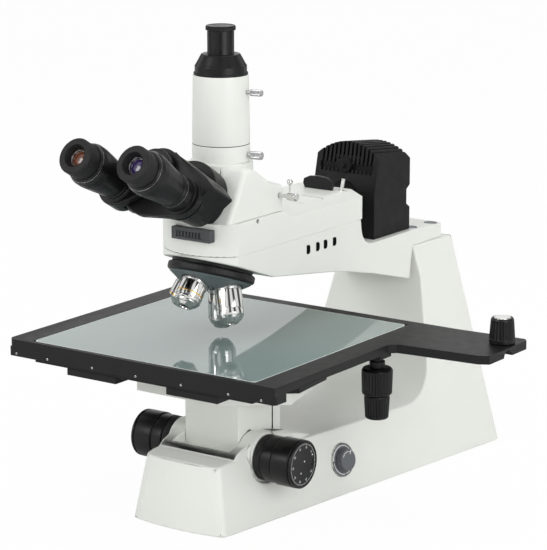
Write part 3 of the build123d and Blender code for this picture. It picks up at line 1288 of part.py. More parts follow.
NODES = {
    "stand_casting": stand_casting,
    "rubber_feet": rubber_feet,
    "bottom_cover": bottom_cover,
    "power_board": power_board,
    "power_panel": power_panel,
    "power_rocker": power_rocker,
    "guide_rails": guide_rails,
    "shaft_collars": shaft_collars,
    "dial_plate": dial_plate,
    "brightness_knob": brightness_knob,
    "focus_carriage": focus_carriage,
    "focus_rack": focus_rack,
    "coarse_shaft": coarse_shaft,
    "coarse_knobs": coarse_knobs,
    "fine_knob_left": lambda: fine_knob(-1),
    "fine_knob_right": lambda: fine_knob(1),
    "support_plate": support_plate,
    "lower_plate": lower_plate,
    "moving_y_rails": moving_y_rails,
    "middle_plate": middle_plate,
    "drive_neck": drive_neck,
    "y_drive_knob": y_drive_knob,
    "x_drive_knob": x_drive_knob,
    "stage_frame": stage_frame,
    "stage_glass": stage_glass,
    "clutch_knob": clutch_knob,
    "arm_casting": arm_casting,
    "bolt_plugs": bolt_plugs,
    "arm_cover": arm_cover,
    "front_slider": front_slider,
    "lever_pin": lever_pin,
    "filter_tab": filter_tab,
    "flat_lever": flat_lever,
    "lamp_house": lamp_house,
    "lamp_collar": lamp_collar,
    "lamp_bulb": lamp_bulb,
    "nosepiece_mount": nosepiece_mount,
    "turret_rim": turret_rim,
    "turret_body": turret_body,
    "objective_a": lambda: objective(0),
    "objective_b": lambda: objective(1),
    "objective_c": lambda: objective(2),
    "objective_d": lambda: objective(3),
    "front_lenses": front_lenses,
    "head_body": head_body,
    "photo_tube": photo_tube,
    "clamp_screw_upper": lambda: clamp_screw(UPPER_SCREW_Z, 3.6),
    "clamp_screw_lower": lambda: clamp_screw(LOWER_SCREW_Z, 4.4),
    "camera_sleeve": camera_sleeve,
    "photo_cap": photo_cap,
    "pull_rod": pull_rod,
    "bino_hub": bino_hub,
    "left_wing": left_wing,
    "left_eye_tube": lambda: eye_tube(-1),
    "left_eyepiece": lambda: eyepiece(-1),
    "left_eye_lens": lambda: eye_lens(-1),
    "right_wing": right_wing,
    "right_eye_tube": lambda: eye_tube(1),
    "right_eyepiece": lambda: eyepiece(1),
    "right_eye_lens": lambda: eye_lens(1),
}

for name, make in NODES.items():
    solid = make()
    export_step(solid, "parts/" + name + ".step")
    print(name, round(solid.volume), len(solid.solids()))
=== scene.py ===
"""Looks of an industrial inspection microscope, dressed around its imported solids.

Lengths in the classes are millimetres in the part's own frame: +X right, -Y to the user, +Z up,
with the origin where the optical axis meets the bench. They become metres when a mesh is made.
"""
import json
import logging
import math
from dataclasses import dataclass, field
from enum import Enum
from typing import Optional, Sequence

import bmesh
import bpy
import numpy as np
from mathutils import Matrix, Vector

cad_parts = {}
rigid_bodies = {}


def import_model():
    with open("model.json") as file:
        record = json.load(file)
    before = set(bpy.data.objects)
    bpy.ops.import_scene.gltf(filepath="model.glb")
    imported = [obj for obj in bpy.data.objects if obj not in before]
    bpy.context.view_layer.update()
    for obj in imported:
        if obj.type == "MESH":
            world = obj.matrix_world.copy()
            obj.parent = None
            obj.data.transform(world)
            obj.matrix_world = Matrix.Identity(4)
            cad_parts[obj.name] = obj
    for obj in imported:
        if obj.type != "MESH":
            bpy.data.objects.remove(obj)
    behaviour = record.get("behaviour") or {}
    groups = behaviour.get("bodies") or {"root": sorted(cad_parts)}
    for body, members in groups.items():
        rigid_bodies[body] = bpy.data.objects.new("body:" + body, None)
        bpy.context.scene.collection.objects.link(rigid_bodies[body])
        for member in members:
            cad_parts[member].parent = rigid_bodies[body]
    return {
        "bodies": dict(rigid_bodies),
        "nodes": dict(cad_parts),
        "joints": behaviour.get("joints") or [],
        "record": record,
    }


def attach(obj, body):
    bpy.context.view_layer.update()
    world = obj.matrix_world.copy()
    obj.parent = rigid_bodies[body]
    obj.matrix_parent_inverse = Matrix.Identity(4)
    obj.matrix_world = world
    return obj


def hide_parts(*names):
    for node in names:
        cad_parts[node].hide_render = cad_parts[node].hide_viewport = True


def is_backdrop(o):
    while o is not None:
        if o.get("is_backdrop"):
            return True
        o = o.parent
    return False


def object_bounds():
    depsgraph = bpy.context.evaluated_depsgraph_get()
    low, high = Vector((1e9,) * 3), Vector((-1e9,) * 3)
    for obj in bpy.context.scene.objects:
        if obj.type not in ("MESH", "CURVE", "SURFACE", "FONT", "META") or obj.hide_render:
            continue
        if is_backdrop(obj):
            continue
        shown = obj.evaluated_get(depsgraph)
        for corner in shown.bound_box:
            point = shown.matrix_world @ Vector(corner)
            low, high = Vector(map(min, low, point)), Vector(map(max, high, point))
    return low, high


MM = 0.001
LOG = logging.getLogger("microscope")
MERGE_METRES = 1e-6
SOLID_MERGE_METRES = 2e-6
FLAT_DEGREES = 0.8
BEVEL_DEGREES = 28.0
CREASE_DEGREES = 32.0
GRIP_FADE = 0.6
GRIP_STEP = 0.9
COAT_ROUGHNESS = 0.12
Vec = tuple[float, float, float]
Colour = tuple[float, float, float]


class Side(Enum):
    """Left or right of the instrument, as a sign along X."""

    LEFT = -1
    RIGHT = 1


class Grip(Enum):
    """How the rim of a turned piece is cut for the fingers."""

    PLAIN = "plain"
    FINE = "fine knurl"
    FLUTED = "wide flutes"
    RIBBED = "raised ribs"


@dataclass(frozen=True)
class Seat:
    """Where a piece stands: its origin, a direction across it and its axis."""

    origin: Vec
    across: Vec
    along: Vec

    def place(self, points: np.ndarray) -> np.ndarray:
        """Turns points of the seat into points of the part.

        Args:
            points: Any array whose last axis holds local x, y and z.

        Returns:
            The same array in the part's frame: origin + x times across + y times side + z times along.
        """
        axis = np.array(self.along) / np.linalg.norm(self.along)
        first = np.array(self.across) - axis * np.dot(self.across, axis)
        first = first / np.linalg.norm(first)
        return np.array(self.origin) + points @ np.stack([first, np.cross(axis, first), axis])


def tilted(degrees: float) -> tuple[float, float]:
    """Sine and cosine of an angle in degrees."""
    return math.sin(math.radians(degrees)), math.cos(math.radians(degrees))


def upright(x: float = 0.0, y: float = 0.0, z: float = 0.0) -> Seat:
    """A seat whose axis points up."""
    return Seat((x, y, z), (1.0, 0.0, 0.0), (0.0, 0.0, 1.0))


def tree_node(tree: bpy.types.NodeTree, kind: str, **values: object) -> bpy.types.Node:
    """Adds a node to a tree and sets its properties.

    Args:
        tree: The tree of a material or of the world.
        kind: The node's type name.
        values: Properties of the node.

    Returns:
        The new node.
    """
    node = tree.nodes.new(kind)
    for key, value in values.items():
        setattr(node, key, value)
    return node


@dataclass(frozen=True)
class Shader:
    """A node tree with a Principled surface, and short ways to add nodes to it."""

    material: bpy.types.Material
    surface: bpy.types.Node

    @classmethod
    def start(cls, name: str) -> "Shader":
        """Makes an empty material with one Principled surface.

        Args:
            name: The material's name.

        Returns:
            The shader that holds both.
        """
        material = bpy.data.materials.new(name)
        material.use_nodes = True
        material.node_tree.nodes.clear()
        surface = tree_node(material.node_tree, "ShaderNodeBsdfPrincipled")
        output = tree_node(material.node_tree, "ShaderNodeOutputMaterial")
        material.node_tree.links.new(surface.outputs[0], output.inputs[0])
        return cls(material, surface)

    def add(self, kind: str, **values: object) -> bpy.types.Node:
        """Adds a node to the material, as tree_node does."""
        return tree_node(self.material.node_tree, kind, **values)

    def link(self, start: bpy.types.NodeSocket, end: bpy.types.NodeSocket) -> None:
        """Joins two sockets."""
        self.material.node_tree.links.new(start, end)

    def noise(self, scale: float, detail: float = 3.0,
              stretch: Vec = (1.0, 1.0, 1.0)) -> bpy.types.NodeSocket:
        """Noise over Object coordinates.

        Args:
            scale: Waves per metre.
            detail: Octaves of the noise.
            stretch: Factor on each axis, so that the noise can become streaks.

        Returns:
            The noise's value socket, from 0 to 1.
        """
        place = self.add("ShaderNodeTexCoord")
        mapping = self.add("ShaderNodeMapping")
        mapping.inputs["Scale"].default_value = stretch
        noise = self.add("ShaderNodeTexNoise")
        noise.inputs["Scale"].default_value = scale
        noise.inputs["Detail"].default_value = detail
        self.link(place.outputs["Object"], mapping.inputs["Vector"])
        self.link(mapping.outputs["Vector"], noise.inputs["Vector"])
        return noise.outputs[0]

    def vary_colour(self, source: bpy.types.NodeSocket, low: Colour, high: Colour) -> None:
        """Drives the base colour between two colours.

        Args:
            source: The pattern, from 0 to 1.
            low: Colour where the pattern is low.
            high: Colour where it is high.
        """
        ramp = self.add("ShaderNodeValToRGB")
        ramp.color_ramp.elements[0].position = 0.3
        ramp.color_ramp.elements[1].position = 0.7
        ramp.color_ramp.elements[0].color = (*low, 1.0)
        ramp.color_ramp.elements[1].color = (*high, 1.0)
        self.link(source, ramp.inputs[0])
        self.link(ramp.outputs[0], self.surface.inputs["Base Color"])

    def vary(self, source: bpy.types.NodeSocket, socket: str, low: float, high: float) -> None:
        """Drives one number of the surface between two values.

        Args:
            source: The pattern, from 0 to 1.
            socket: Name of the surface's input.
            low: Value where the pattern is low.
            high: Value where it is high.
        """
        span = self.add("ShaderNodeMapRange")
        span.inputs["From Min"].default_value = 0.3
        span.inputs["From Max"].default_value = 0.7
        span.inputs["To Min"].default_value = low
        span.inputs["To Max"].default_value = high
        self.link(source, span.inputs[0])
        self.link(span.outputs[0], self.surface.inputs[socket])

    def bump(self, source: bpy.types.NodeSocket, depth: float, strength: float) -> None:
        """Raises the surface by a pattern.

        Args:
            source: The pattern, from 0 to 1.
            depth: Height of the pattern in metres.
            strength: Share of that height that shows.
        """
        bump = self.add("ShaderNodeBump")
        bump.inputs["Distance"].default_value = depth
        bump.inputs["Strength"].default_value = strength
        self.link(source, bump.inputs["Height"])
        self.link(bump.outputs[0], self.surface.inputs["Normal"])


@dataclass(frozen=True)
class Finish:
    """A painted, moulded, anodised or plated finish with fine grain and slow blotches."""

    name: str
    colour: Colour
    shift: float = 0.06
    roughness: tuple[float, float] = (0.4, 0.5)
    metallic: float = 0.0
    specular: float = 0.5
    coat: float = 0.0
    grain: float = 1500.0
    depth: float = 0.00004
    strength: float = 0.25
    blotch: float = 14.0
    stretch: Vec = (1.0, 1.0, 1.0)

    def material(self) -> bpy.types.Material:
        """The finish as a material, made once.

        Returns:
            The material of this name.
        """
        if self.name in bpy.data.materials:
            return bpy.data.materials[self.name]
        shader = Shader.start(self.name)
        low = tuple(value * (1.0 - self.shift) for value in self.colour)
        high = tuple(min(1.0, value * (1.0 + self.shift)) for value in self.colour)
        shader.vary_colour(shader.noise(self.blotch, 4.0), low, high)
        shader.vary(shader.noise(self.blotch * 6.0, 3.0, self.stretch), "Roughness", *self.roughness)
        shader.bump(shader.noise(self.grain, 2.0, self.stretch), self.depth, self.strength)
        shader.surface.inputs["Metallic"].default_value = self.metallic
        shader.surface.inputs["Specular IOR Level"].default_value = self.specular
        shader.surface.inputs["Coat Weight"].default_value = self.coat
        shader.surface.inputs["Coat Roughness"].default_value = COAT_ROUGHNESS
        return shader.material


@dataclass(frozen=True)
class StageGlass:
    """Grey-green plate glass that mirrors what stands above it."""

    name: str = "stage_plate_glass"
    colour: Colour = (0.23, 0.30, 0.29)
    index: float = 1.9

    def material(self) -> bpy.types.Material:
        """The glass as a material, made once.

        Returns:
            The material of this name.
        """
        if self.name in bpy.data.materials:
            return bpy.data.materials[self.name]
        shader = Shader.start(self.name)
        low = tuple(value * 0.9 for value in self.colour)
        shader.vary_colour(shader.noise(5.0, 2.0), low, self.colour)
        shader.vary(shader.noise(30.0, 2.0), "Roughness", 0.03, 0.06)
        shader.surface.inputs["IOR"].default_value = self.index
        return shader.material


@dataclass(frozen=True)
class CoatedLens:
    """A lens with a coloured coating whose sheen is painted into its base colour: dark in the middle, with
    a painted tinted sheen towards its rim.
    """

    name: str
    sheen_tint: Colour
    centre: Vec
    radius: float

    def material(self) -> bpy.types.Material:
        """The lens as a material, made once.

        Returns:
            The material of this name.
        """
        if self.name in bpy.data.materials:
            return bpy.data.materials[self.name]
        shader = Shader.start(self.name)
        place = shader.add("ShaderNodeTexCoord")
        mapping = shader.add("ShaderNodeMapping")
        mapping.vector_type = "POINT"
        mapping.inputs["Location"].default_value = tuple(-value * MM for value in self.centre)
        distance = shader.add("ShaderNodeVectorMath", operation="LENGTH")
        shader.link(place.outputs["Object"], mapping.inputs["Vector"])
        shader.link(mapping.outputs["Vector"], distance.inputs[0])
        share = shader.add("ShaderNodeMath", operation="MULTIPLY")
        share.inputs[1].default_value = 1.0 / (self.radius * MM)
        shader.link(distance.outputs["Value"], share.inputs[0])
        # Painted reflection: the coating's tinted sheen is a radial ramp in the base colour.
        ramp = shader.add("ShaderNodeValToRGB")
        ramp.color_ramp.elements[0].color = (*(value * 0.6 for value in self.sheen_tint), 1.0)
        ramp.color_ramp.elements[1].color = (0.01, 0.01, 0.012, 1.0)
        middle = ramp.color_ramp.elements.new(0.55)
        middle.color = (*self.sheen_tint, 1.0)
        shader.link(share.outputs[0], ramp.inputs[0])
        shader.link(ramp.outputs[0], shader.surface.inputs["Base Color"])
        shader.surface.inputs["Roughness"].default_value = 0.08
        shader.surface.inputs["Coat Weight"].default_value = 0.6
        shader.surface.inputs["Coat Roughness"].default_value = 0.03
        return shader.material


PAINT = Finish("warm_white_powder_coat", (0.79, 0.805, 0.765), shift=0.012, roughness=(0.34, 0.42),
               grain=900.0, depth=0.00006, strength=0.18)
ANODISED = Finish("black_anodised_plate", (0.009, 0.009, 0.0095), shift=0.04, roughness=(0.43, 0.48),
                  specular=0.22, grain=2600.0)
SATIN = Finish("black_satin_barrel", (0.006, 0.006, 0.0065), shift=0.15, roughness=(0.3, 0.42),
               grain=2200.0, specular=0.28)
MOULDED = Finish("black_moulded_knob", (0.006, 0.006, 0.0065), shift=0.15, roughness=(0.28, 0.4),
                 specular=0.28, grain=1100.0, depth=0.00008)
TEXTURED = Finish("black_texture_coat", (0.008, 0.008, 0.0085), shift=0.12, roughness=(0.5, 0.62),
                  specular=0.22, grain=700.0, depth=0.0002, strength=0.4)
# Near black, for the dark joints and for the painted shade inside the vents and the set-screw hole.
SEAM_AND_SHADE = Finish("dark_seam", (0.004, 0.004, 0.004), roughness=(0.8, 0.9), specular=0.05)
CUP_RUBBER = Finish("black_cup_rubber", (0.013, 0.013, 0.014), roughness=(0.5, 0.62), specular=0.25,
                    grain=900.0, depth=0.0001)
RUBBER = Finish("black_rubber", (0.02, 0.02, 0.02), roughness=(0.7, 0.82), grain=900.0, depth=0.0001,
                strength=0.5)
CHROME = Finish("bright_chrome", (0.68, 0.68, 0.67), shift=0.02, roughness=(0.06, 0.11), metallic=1.0,
                grain=300.0, depth=0.00002, strength=0.1)
STEEL = Finish("ground_steel", (0.52, 0.52, 0.53), shift=0.06, roughness=(0.26, 0.38), metallic=1.0,
               stretch=(1.0, 8.0, 1.0))
GOLD = Finish("gold_band", (0.78, 0.52, 0.16), shift=0.05, roughness=(0.18, 0.26), metallic=1.0)
NOSE_GREY = Finish("grey_nosepiece_enamel", (0.095, 0.12, 0.122), shift=0.05, roughness=(0.35, 0.45))
DIAL_GREY = Finish("grey_dial_plastic", (0.115, 0.125, 0.135), shift=0.06, roughness=(0.38, 0.5),
                   grain=1200.0)
SLIDER_GREY = Finish("grey_slider_plastic", (0.055, 0.06, 0.066), shift=0.1, roughness=(0.4, 0.5))
PRINT = Finish("white_engraving", (0.72, 0.74, 0.74), shift=0.04, roughness=(0.5, 0.6))
GLASS_EDGE = Finish("pale_glass_edge", (0.62, 0.68, 0.66), shift=0.05, roughness=(0.2, 0.3))
CIRCUIT = Finish("green_circuit_board", (0.03, 0.12, 0.06), shift=0.2, roughness=(0.4, 0.5))
LAMP_GLASS = Finish("lamp_envelope", (0.75, 0.74, 0.68), shift=0.03, roughness=(0.05, 0.1), coat=0.5)
STAGE_GLASS = StageGlass()


def rounded(profile: Sequence[tuple[float, float]], radius: float, steps: int = 3) -> np.ndarray:
    """Rounds the inner corners of an open outline.

    Each corner becomes a short curve that starts and ends a trimmed length away from it: at share t
    of the way it lies at (1-t)^2 times its start, plus 2t(1-t) times the corner, plus t^2 times its end.

    Args:
        profile: Corners of the outline.
        radius: Length trimmed at each corner, at most 0.45 of the shorter side.
        steps: Points of each curve less one.

    Returns:
        The rounded outline, one row for each point.
    """
    points = np.array(profile, float)
    before, corner, after = points[:-2], points[1:-1], points[2:]
    to_before = before - corner
    to_after = after - corner
    length_before = np.linalg.norm(to_before, axis=1, keepdims=True)
    length_after = np.linalg.norm(to_after, axis=1, keepdims=True)
    trim = np.minimum(radius, 0.45 * np.minimum(length_before, length_after))
    start = corner + to_before / length_before * trim
    end = corner + to_after / length_after * trim
    share = np.linspace(0.0, 1.0, steps + 1)[None, :, None]
    leaving = (1 - share) ** 2 * start[:, None]
    bending = 2 * share * (1 - share) * corner[:, None]
    curve = leaving + bending + share ** 2 * end[:, None]
    return np.vstack([points[:1], curve.reshape(-1, 2), points[-1:]])


def grid_faces(rows: int, columns: int, first: int, closed_rows: bool,
               closed_columns: bool) -> list[list[int]]:
    """Four-sided faces of a grid of points.

    Args:
        rows: Points along the first parameter.
        columns: Points along the second parameter.
        first: Number of the grid's first point.
        closed_rows: Whether the last row joins the first.
        closed_columns: Whether the last column joins the first.

    Returns:
        The corners of each face.
    """
    index = np.arange(rows * columns).reshape(rows, columns) + first
    if closed_rows:
        index = np.vstack([index, index[:1]])
    if closed_columns:
        index = np.hstack([index, index[:, :1]])
    quads = np.stack([index[:-1, :-1], index[1:, :-1], index[1:, 1:], index[:-1, 1:]], -1)
    return quads.reshape(-1, 4).tolist()


@dataclass
class Form:
    """A mesh in the making: grids of points that become one object."""

    name: str
    points: list[np.ndarray] = field(default_factory=list)
    faces: list[list[int]] = field(default_factory=list)
    count: int = 0

    def grid(self, points: np.ndarray, closed_rows: bool = False, closed_columns: bool = False) -> "Form":
        """Adds a surface given as a grid of points.

        Args:
            points: Rows and columns of points in millimetres.
            closed_rows: Whether the last row joins the first.
            closed_columns: Whether the last column joins the first.

        Returns:
            The form itself.
        """
        rows, columns = points.shape[:2]
        self.faces += grid_faces(rows, columns, self.count, closed_rows, closed_columns)
        self.points.append(points.reshape(-1, 3) * MM)
        self.count += rows * columns
        return self

    def turned(self, profile: np.ndarray, seat: Seat, segments: int = 96, grip: Grip = Grip.PLAIN,
               zone: tuple[float, float] = (0.0, 0.0), ribs: int = 60, depth: float = 0.4) -> "Form":
        """Adds a closed surface of revolution.

        A point at angle a and height h lies at radius r(h) times (cos a, sin a). Inside the grip's
        zone the radius is lessened by the depth times a wave of the angle, which fades at its ends.

        Args:
            profile: Rows of radius and height, from one end to the other.
            seat: Where its axis stands.
            segments: Points round the axis.
            grip: The wave's form.
            zone: Heights between which the grip is cut.
            ribs: Waves round the axis.
            depth: The wave's depth.

        Returns:
            The form itself.
        """
        angle = np.linspace(0.0, 2.0 * np.pi, segments, endpoint=False)
        radius = np.repeat(profile[:, :1], segments, axis=1)
        height = np.repeat(profile[:, 1:2], segments, axis=1)
        if grip is not Grip.PLAIN:
            wave = 0.5 - 0.5 * np.cos(ribs * angle)
            if grip is Grip.FLUTED:
                wave = np.clip(wave * 2.2 - 1.2, 0.0, 1.0)
            if grip is Grip.RIBBED:
                wave = np.clip(wave * 2.0 - 0.5, 0.0, 1.0)
            inside = np.clip(np.minimum(height - zone[0], zone[1] - height) / GRIP_FADE, 0.0, 1.0)
            radius = radius - depth * wave[None, :] * inside * (radius > 0.5 * radius.max())
        local = np.stack([radius * np.cos(angle), radius * np.sin(angle), height], -1)
        return self.grid(seat.place(local), closed_columns=True)

    def tube(self, path: np.ndarray, radius: float, sides: int = 16) -> "Form":
        """Adds a round bar along a path of points, closed at both ends.

        Args:
            path: Rows of points in the part's frame.
            radius: The bar's radius.
            sides: Points round the bar.

        Returns:
            The form itself.
        """
        tangent = np.gradient(path, axis=0)
        tangent /= np.linalg.norm(tangent, axis=1, keepdims=True)
        helper = np.where(np.abs(tangent[:, 2:3]) > 0.9, np.array([[1.0, 0, 0]]), np.array([[0, 0, 1.0]]))
        first = np.cross(tangent, helper)
        first /= np.linalg.norm(first, axis=1, keepdims=True)
        second = np.cross(tangent, first)
        angle = np.linspace(0.0, 2.0 * np.pi, sides, endpoint=False)
        cosine, sine = np.cos(angle)[None, :, None], np.sin(angle)[None, :, None]
        body = path[:, None] + radius * (cosine * first[:, None] + sine * second[:, None])
        ends = [np.repeat(path[:1, None], sides, 1), body, np.repeat(path[-1:, None], sides, 1)]
        return self.grid(np.concatenate(ends), closed_columns=True)

    def slab(self, outline: np.ndarray, seat: Seat, low: float, high: float) -> "Form":
        """Adds a flat plate with square edges.

        Args:
            outline: Rows of local x and y round the plate.
            seat: The plate's frame.
            low: Height of its lower face.
            high: Height of its upper face.

        Returns:
            The form itself.
        """
        middle = outline.mean(axis=0, keepdims=True)
        rings = [np.repeat(middle, len(outline), 0), outline, outline, np.repeat(middle, len(outline), 0)]
        heights = (low, low, high, high)
        layers = [np.column_stack([ring, np.full(len(ring), at)]) for ring, at in zip(rings, heights)]
        return self.grid(seat.place(np.stack(layers)), closed_columns=True)

    def build(self, crease: float = CREASE_DEGREES) -> bpy.types.Object:
        """Makes the object: doubles merged, faces outwards, edges sharp where they turn past a crease.

        Args:
            crease: The angle in degrees past which an edge shows.

        Returns:
            The new object at the origin.
        """
        mesh = bpy.data.meshes.new(self.name)
        mesh.from_pydata(np.concatenate(self.points), [], self.faces)
        shape = bmesh.new()
        shape.from_mesh(mesh)
        bmesh.ops.remove_doubles(shape, verts=shape.verts, dist=MERGE_METRES)
        bmesh.ops.dissolve_degenerate(shape, edges=shape.edges, dist=MERGE_METRES)
        bmesh.ops.recalc_face_normals(shape, faces=shape.faces)
        shape.to_mesh(mesh)
        shape.free()
        return smooth_object(mesh, self.name, crease)


def smooth_object(mesh: bpy.types.Mesh, name: str, crease: float) -> bpy.types.Object:
    """An object of a mesh with smooth faces and sharp creases.

    Args:
        mesh: The mesh.
        name: The object's name.
        crease: The angle in degrees past which an edge shows.

    Returns:
        The object, linked to the scene.
    """
    mesh.polygons.foreach_set("use_smooth", np.ones(len(mesh.polygons), bool))
    mesh.set_sharp_from_angle(angle=math.radians(crease))
    made = bpy.data.objects.new(name, mesh)
    bpy.context.scene.collection.objects.link(made)
    return made


def softened(node: bpy.types.Object, name: str, width: float, segments: int = 3,
             clamped: bool = False) -> bpy.types.Object:
    """A copy of a solid with rounded edges.

    Args:
        node: The solid's object.
        name: Name of the copy.
        width: Width of the rounding in millimetres.
        segments: Steps across the rounding.
        clamped: Whether the width gives way where edges lie closer than it.

    Returns:
        The copy, merged, with flat faces joined and a bevel on its edges.
    """
    mesh = node.data.copy()
    mesh.name = name
    mesh.materials.clear()
    shape = bmesh.new()
    shape.from_mesh(mesh)
    bmesh.ops.remove_doubles(shape, verts=shape.verts, dist=SOLID_MERGE_METRES)
    flat = math.radians(FLAT_DEGREES)
    bmesh.ops.dissolve_limit(shape, angle_limit=flat, verts=shape.verts, edges=shape.edges)
    shape.to_mesh(mesh)
    shape.free()
    made = smooth_object(mesh, name, 30.0)
    bevel = made.modifiers.new("rounded_edges", "BEVEL")
    bevel.width = width * MM
    bevel.segments = segments
    bevel.limit_method = "ANGLE"
    bevel.angle_limit = math.radians(BEVEL_DEGREES)
    bevel.harden_normals = True
    bevel.use_clamp_overlap = clamped
    return made


def settle(piece: bpy.types.Object, body: str, finish: object,
           replaced: Sequence[str] = ()) -> bpy.types.Object:
    """Dresses a finished piece and fixes it to its body.

    Args:
        piece: The object.
        body: Body that it moves with.
        finish: Anything with a material method.
        replaced: Solids that it stands for.

    Returns:
        The same object.
    """
    piece.data.materials.clear()
    piece.data.materials.append(finish.material())
    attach(piece, body)
    if replaced:
        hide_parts(*replaced)
    LOG.info("%s on %s, %d faces", piece.name, body, len(piece.data.polygons))
    return piece


@dataclass(frozen=True)
class Shell:
    """How a solid's softened copy is named, rounded, dressed and carried."""

    node: str
    name: str
    body: str
    slot: str
    finish: object
    width: float
    segments: int = 3
    clamped: bool = False

    def build(self, frame: dict) -> bpy.types.Object:
        """Makes the copy, which then stands for its solid.

        Args:
            frame: The loaded frame.

        Returns:
            The copy.
        """
        piece = softened(frame["nodes"][self.node], self.name, self.width, self.segments, self.clamped)
        return settle(piece, self.body, self.finish, [self.node])


def resampled(profile: np.ndarray, step: float) -> np.ndarray:
    """Adds points to an outline so that none lie further apart along it than a step.

    Args:
        profile: Rows of the outline.
        step: Greatest distance along the outline.

    Returns:
        The outline read at its own points and at each multiple of the step.
    """
    length = np.concatenate([[0.0], np.cumsum(np.linalg.norm(np.diff(profile, axis=0), axis=1))])
    places = np.unique(np.round(np.concatenate([length, np.arange(0.0, length[-1], step)]), 4))
    return np.column_stack([np.interp(places, length, profile[:, 0]),
                            np.interp(places, length, profile[:, 1])])


@dataclass(frozen=True)
class Turning:
    """A turned piece: an outline of radius and height with rounded corners, on an axis."""

    name: str
    outline: Sequence[tuple[float, float]]
    seat: Seat
    rounding: float = 0.5
    segments: int = 96
    grip: Grip = Grip.PLAIN
    zone: tuple[float, float] = (0.0, 0.0)
    ribs: int = 60
    depth: float = 0.4
    points_per_rib: int = 8

    def form(self, form: Optional[Form] = None) -> Form:
        """Adds the turned surface to a form, or to a new one.

        Args:
            form: The form that takes it.

        Returns:
            That form.
        """
        form = form or Form(self.name)
        profile = rounded(self.outline, self.rounding)
        if self.grip is Grip.PLAIN:
            return form.turned(profile, self.seat, self.segments)
        profile = resampled(profile, GRIP_STEP)
        segments = self.ribs * self.points_per_rib
        return form.turned(profile, self.seat, segments, self.grip, self.zone, self.ribs, self.depth)

    def build(self) -> bpy.types.Object:
        """The turned piece as an object."""
        return self.form().build()


def dress(node: str, finish: object, frame: dict) -> None:
    """Gives a solid of the frame a finish, and leaves its shape alone.

    Args:
        node: The solid's name.
        finish: Anything with a material method.
        frame: The loaded frame.
    """
    solid = frame["nodes"][node]
    solid.data.materials.clear()
    solid.data.materials.append(finish.material())
    LOG.info("%s dressed", node)


def ring_sector(inner: float, outer: float, start: float, end: float, level: float, taper: float = 1.0,
                steps: int = 48) -> np.ndarray:
    """A flat arc band as a grid.

    Args:
        inner: Radius of the inside edge.
        outer: Radius of the outside edge where the band is widest.
        start: First angle in degrees.
        end: Last angle in degrees.
        level: Height along the axis.
        taper: Share of the width left at the first angle.
        steps: Points along the arc.

    Returns:
        Local points: radius runs from the inside to the outside edge, and the band's width grows
        evenly with the angle.
    """
    share = np.linspace(0.0, 1.0, steps)
    angle = np.radians(start + (end - start) * share)
    width = (outer - inner) * (taper + (1.0 - taper) * share)
    radius = np.stack([np.full(steps, inner), inner + width])
    return np.stack([radius * np.cos(angle), radius * np.sin(angle), np.full((2, steps), level)], -1)


def thickened(points: np.ndarray, height: float) -> np.ndarray:
    """Turns a two-row band into a closed low bar by adding its raised copy."""
    raised = points + np.array([0.0, 0.0, height])
    return np.stack([points[0], points[1], raised[1], raised[0]])


def numerals(name: str, words: Sequence[str], places: Sequence[tuple[float, float, float]], size: float,
             seat: Seat, level: float) -> bpy.types.Object:
    """Numbers on a dial as one mesh.

    Args:
        name: Name of the piece.
        words: The numbers.
        places: Local x, y and turn in degrees of each.
        size: Height of the figures in millimetres.
        seat: Frame of the dial.
        level: Height above the dial.

    Returns:
        The object, with its place in its mesh.
    """
    form = Form(name)
    for word, (x, y, turn) in zip(words, places):
        curve = bpy.data.curves.new(name + "_text", "FONT")
        curve.body = word
        curve.size = size
        curve.align_x = "CENTER"
        curve.align_y = "CENTER"
        curve.extrude = 0.03
        curve.resolution_u = 3
        text = bpy.data.objects.new(name + "_text", curve)
        bpy.context.scene.collection.objects.link(text)
        mesh = bpy.data.meshes.new_from_object(text.evaluated_get(bpy.context.evaluated_depsgraph_get()))
        local = np.empty(len(mesh.vertices) * 3)
        mesh.vertices.foreach_get("co", local)
        local = local.reshape(-1, 3)
        sine, cosine = tilted(turn)
        spun = np.column_stack([
            x + local[:, 0] * cosine - local[:, 1] * sine,
            y + local[:, 0] * sine + local[:, 1] * cosine,
            level + local[:, 2],
        ])
        form.faces += [[index + form.count for index in face.vertices] for face in mesh.polygons]
        form.points.append(seat.place(spun) * MM)
        form.count += len(spun)
        bpy.data.objects.remove(text)
        bpy.data.curves.remove(curve)
        bpy.data.meshes.remove(mesh)
    return form.build()


def box_outline(x: tuple[float, float], y: tuple[float, float]) -> np.ndarray:
    """Four corners of a rectangle between two values of each axis."""
    return np.array([(x[0], y[0]), (x[1], y[0]), (x[1], y[1]), (x[0], y[1])], float)


def section(node: bpy.types.Object, height: float, inset: float, sectors: int = 90,
            slack: float = 0.05) -> np.ndarray:
    """Outline of a solid at a height where it has a flat face, drawn in a little.

    The solid's corners near the height are turned into angles about their middle; the outline keeps
    the furthest one in each sector and moves it towards the middle by the inset.

    Args:
        node: The solid's object.
        height: Height of the flat face in millimetres.
        inset: Distance that the outline is drawn in, or let out where it is negative.
        sectors: Number of sectors round the middle.
        slack: Distance from the height that still counts, in millimetres.

    Returns:
        Rows of x and y round the outline.
    """
    points = np.empty(len(node.data.vertices) * 3)
    node.data.vertices.foreach_get("co", points)
    points = points.reshape(-1, 3) / MM
    flat = points[np.abs(points[:, 2] - height) < slack][:, :2]
    middle = (flat.min(axis=0) + flat.max(axis=0)) / 2
    offset = flat - middle
    reach = np.linalg.norm(offset, axis=1)
    share = (np.arctan2(offset[:, 1], offset[:, 0]) + np.pi) / (2.0 * np.pi)
    sector = np.floor(share * sectors).astype(int)
    order = np.lexsort((-reach, sector))
    kept = order[np.unique(sector[order], return_index=True)[1]]
    return middle + offset[kept] * (1.0 - inset / reach[kept])[:, None]


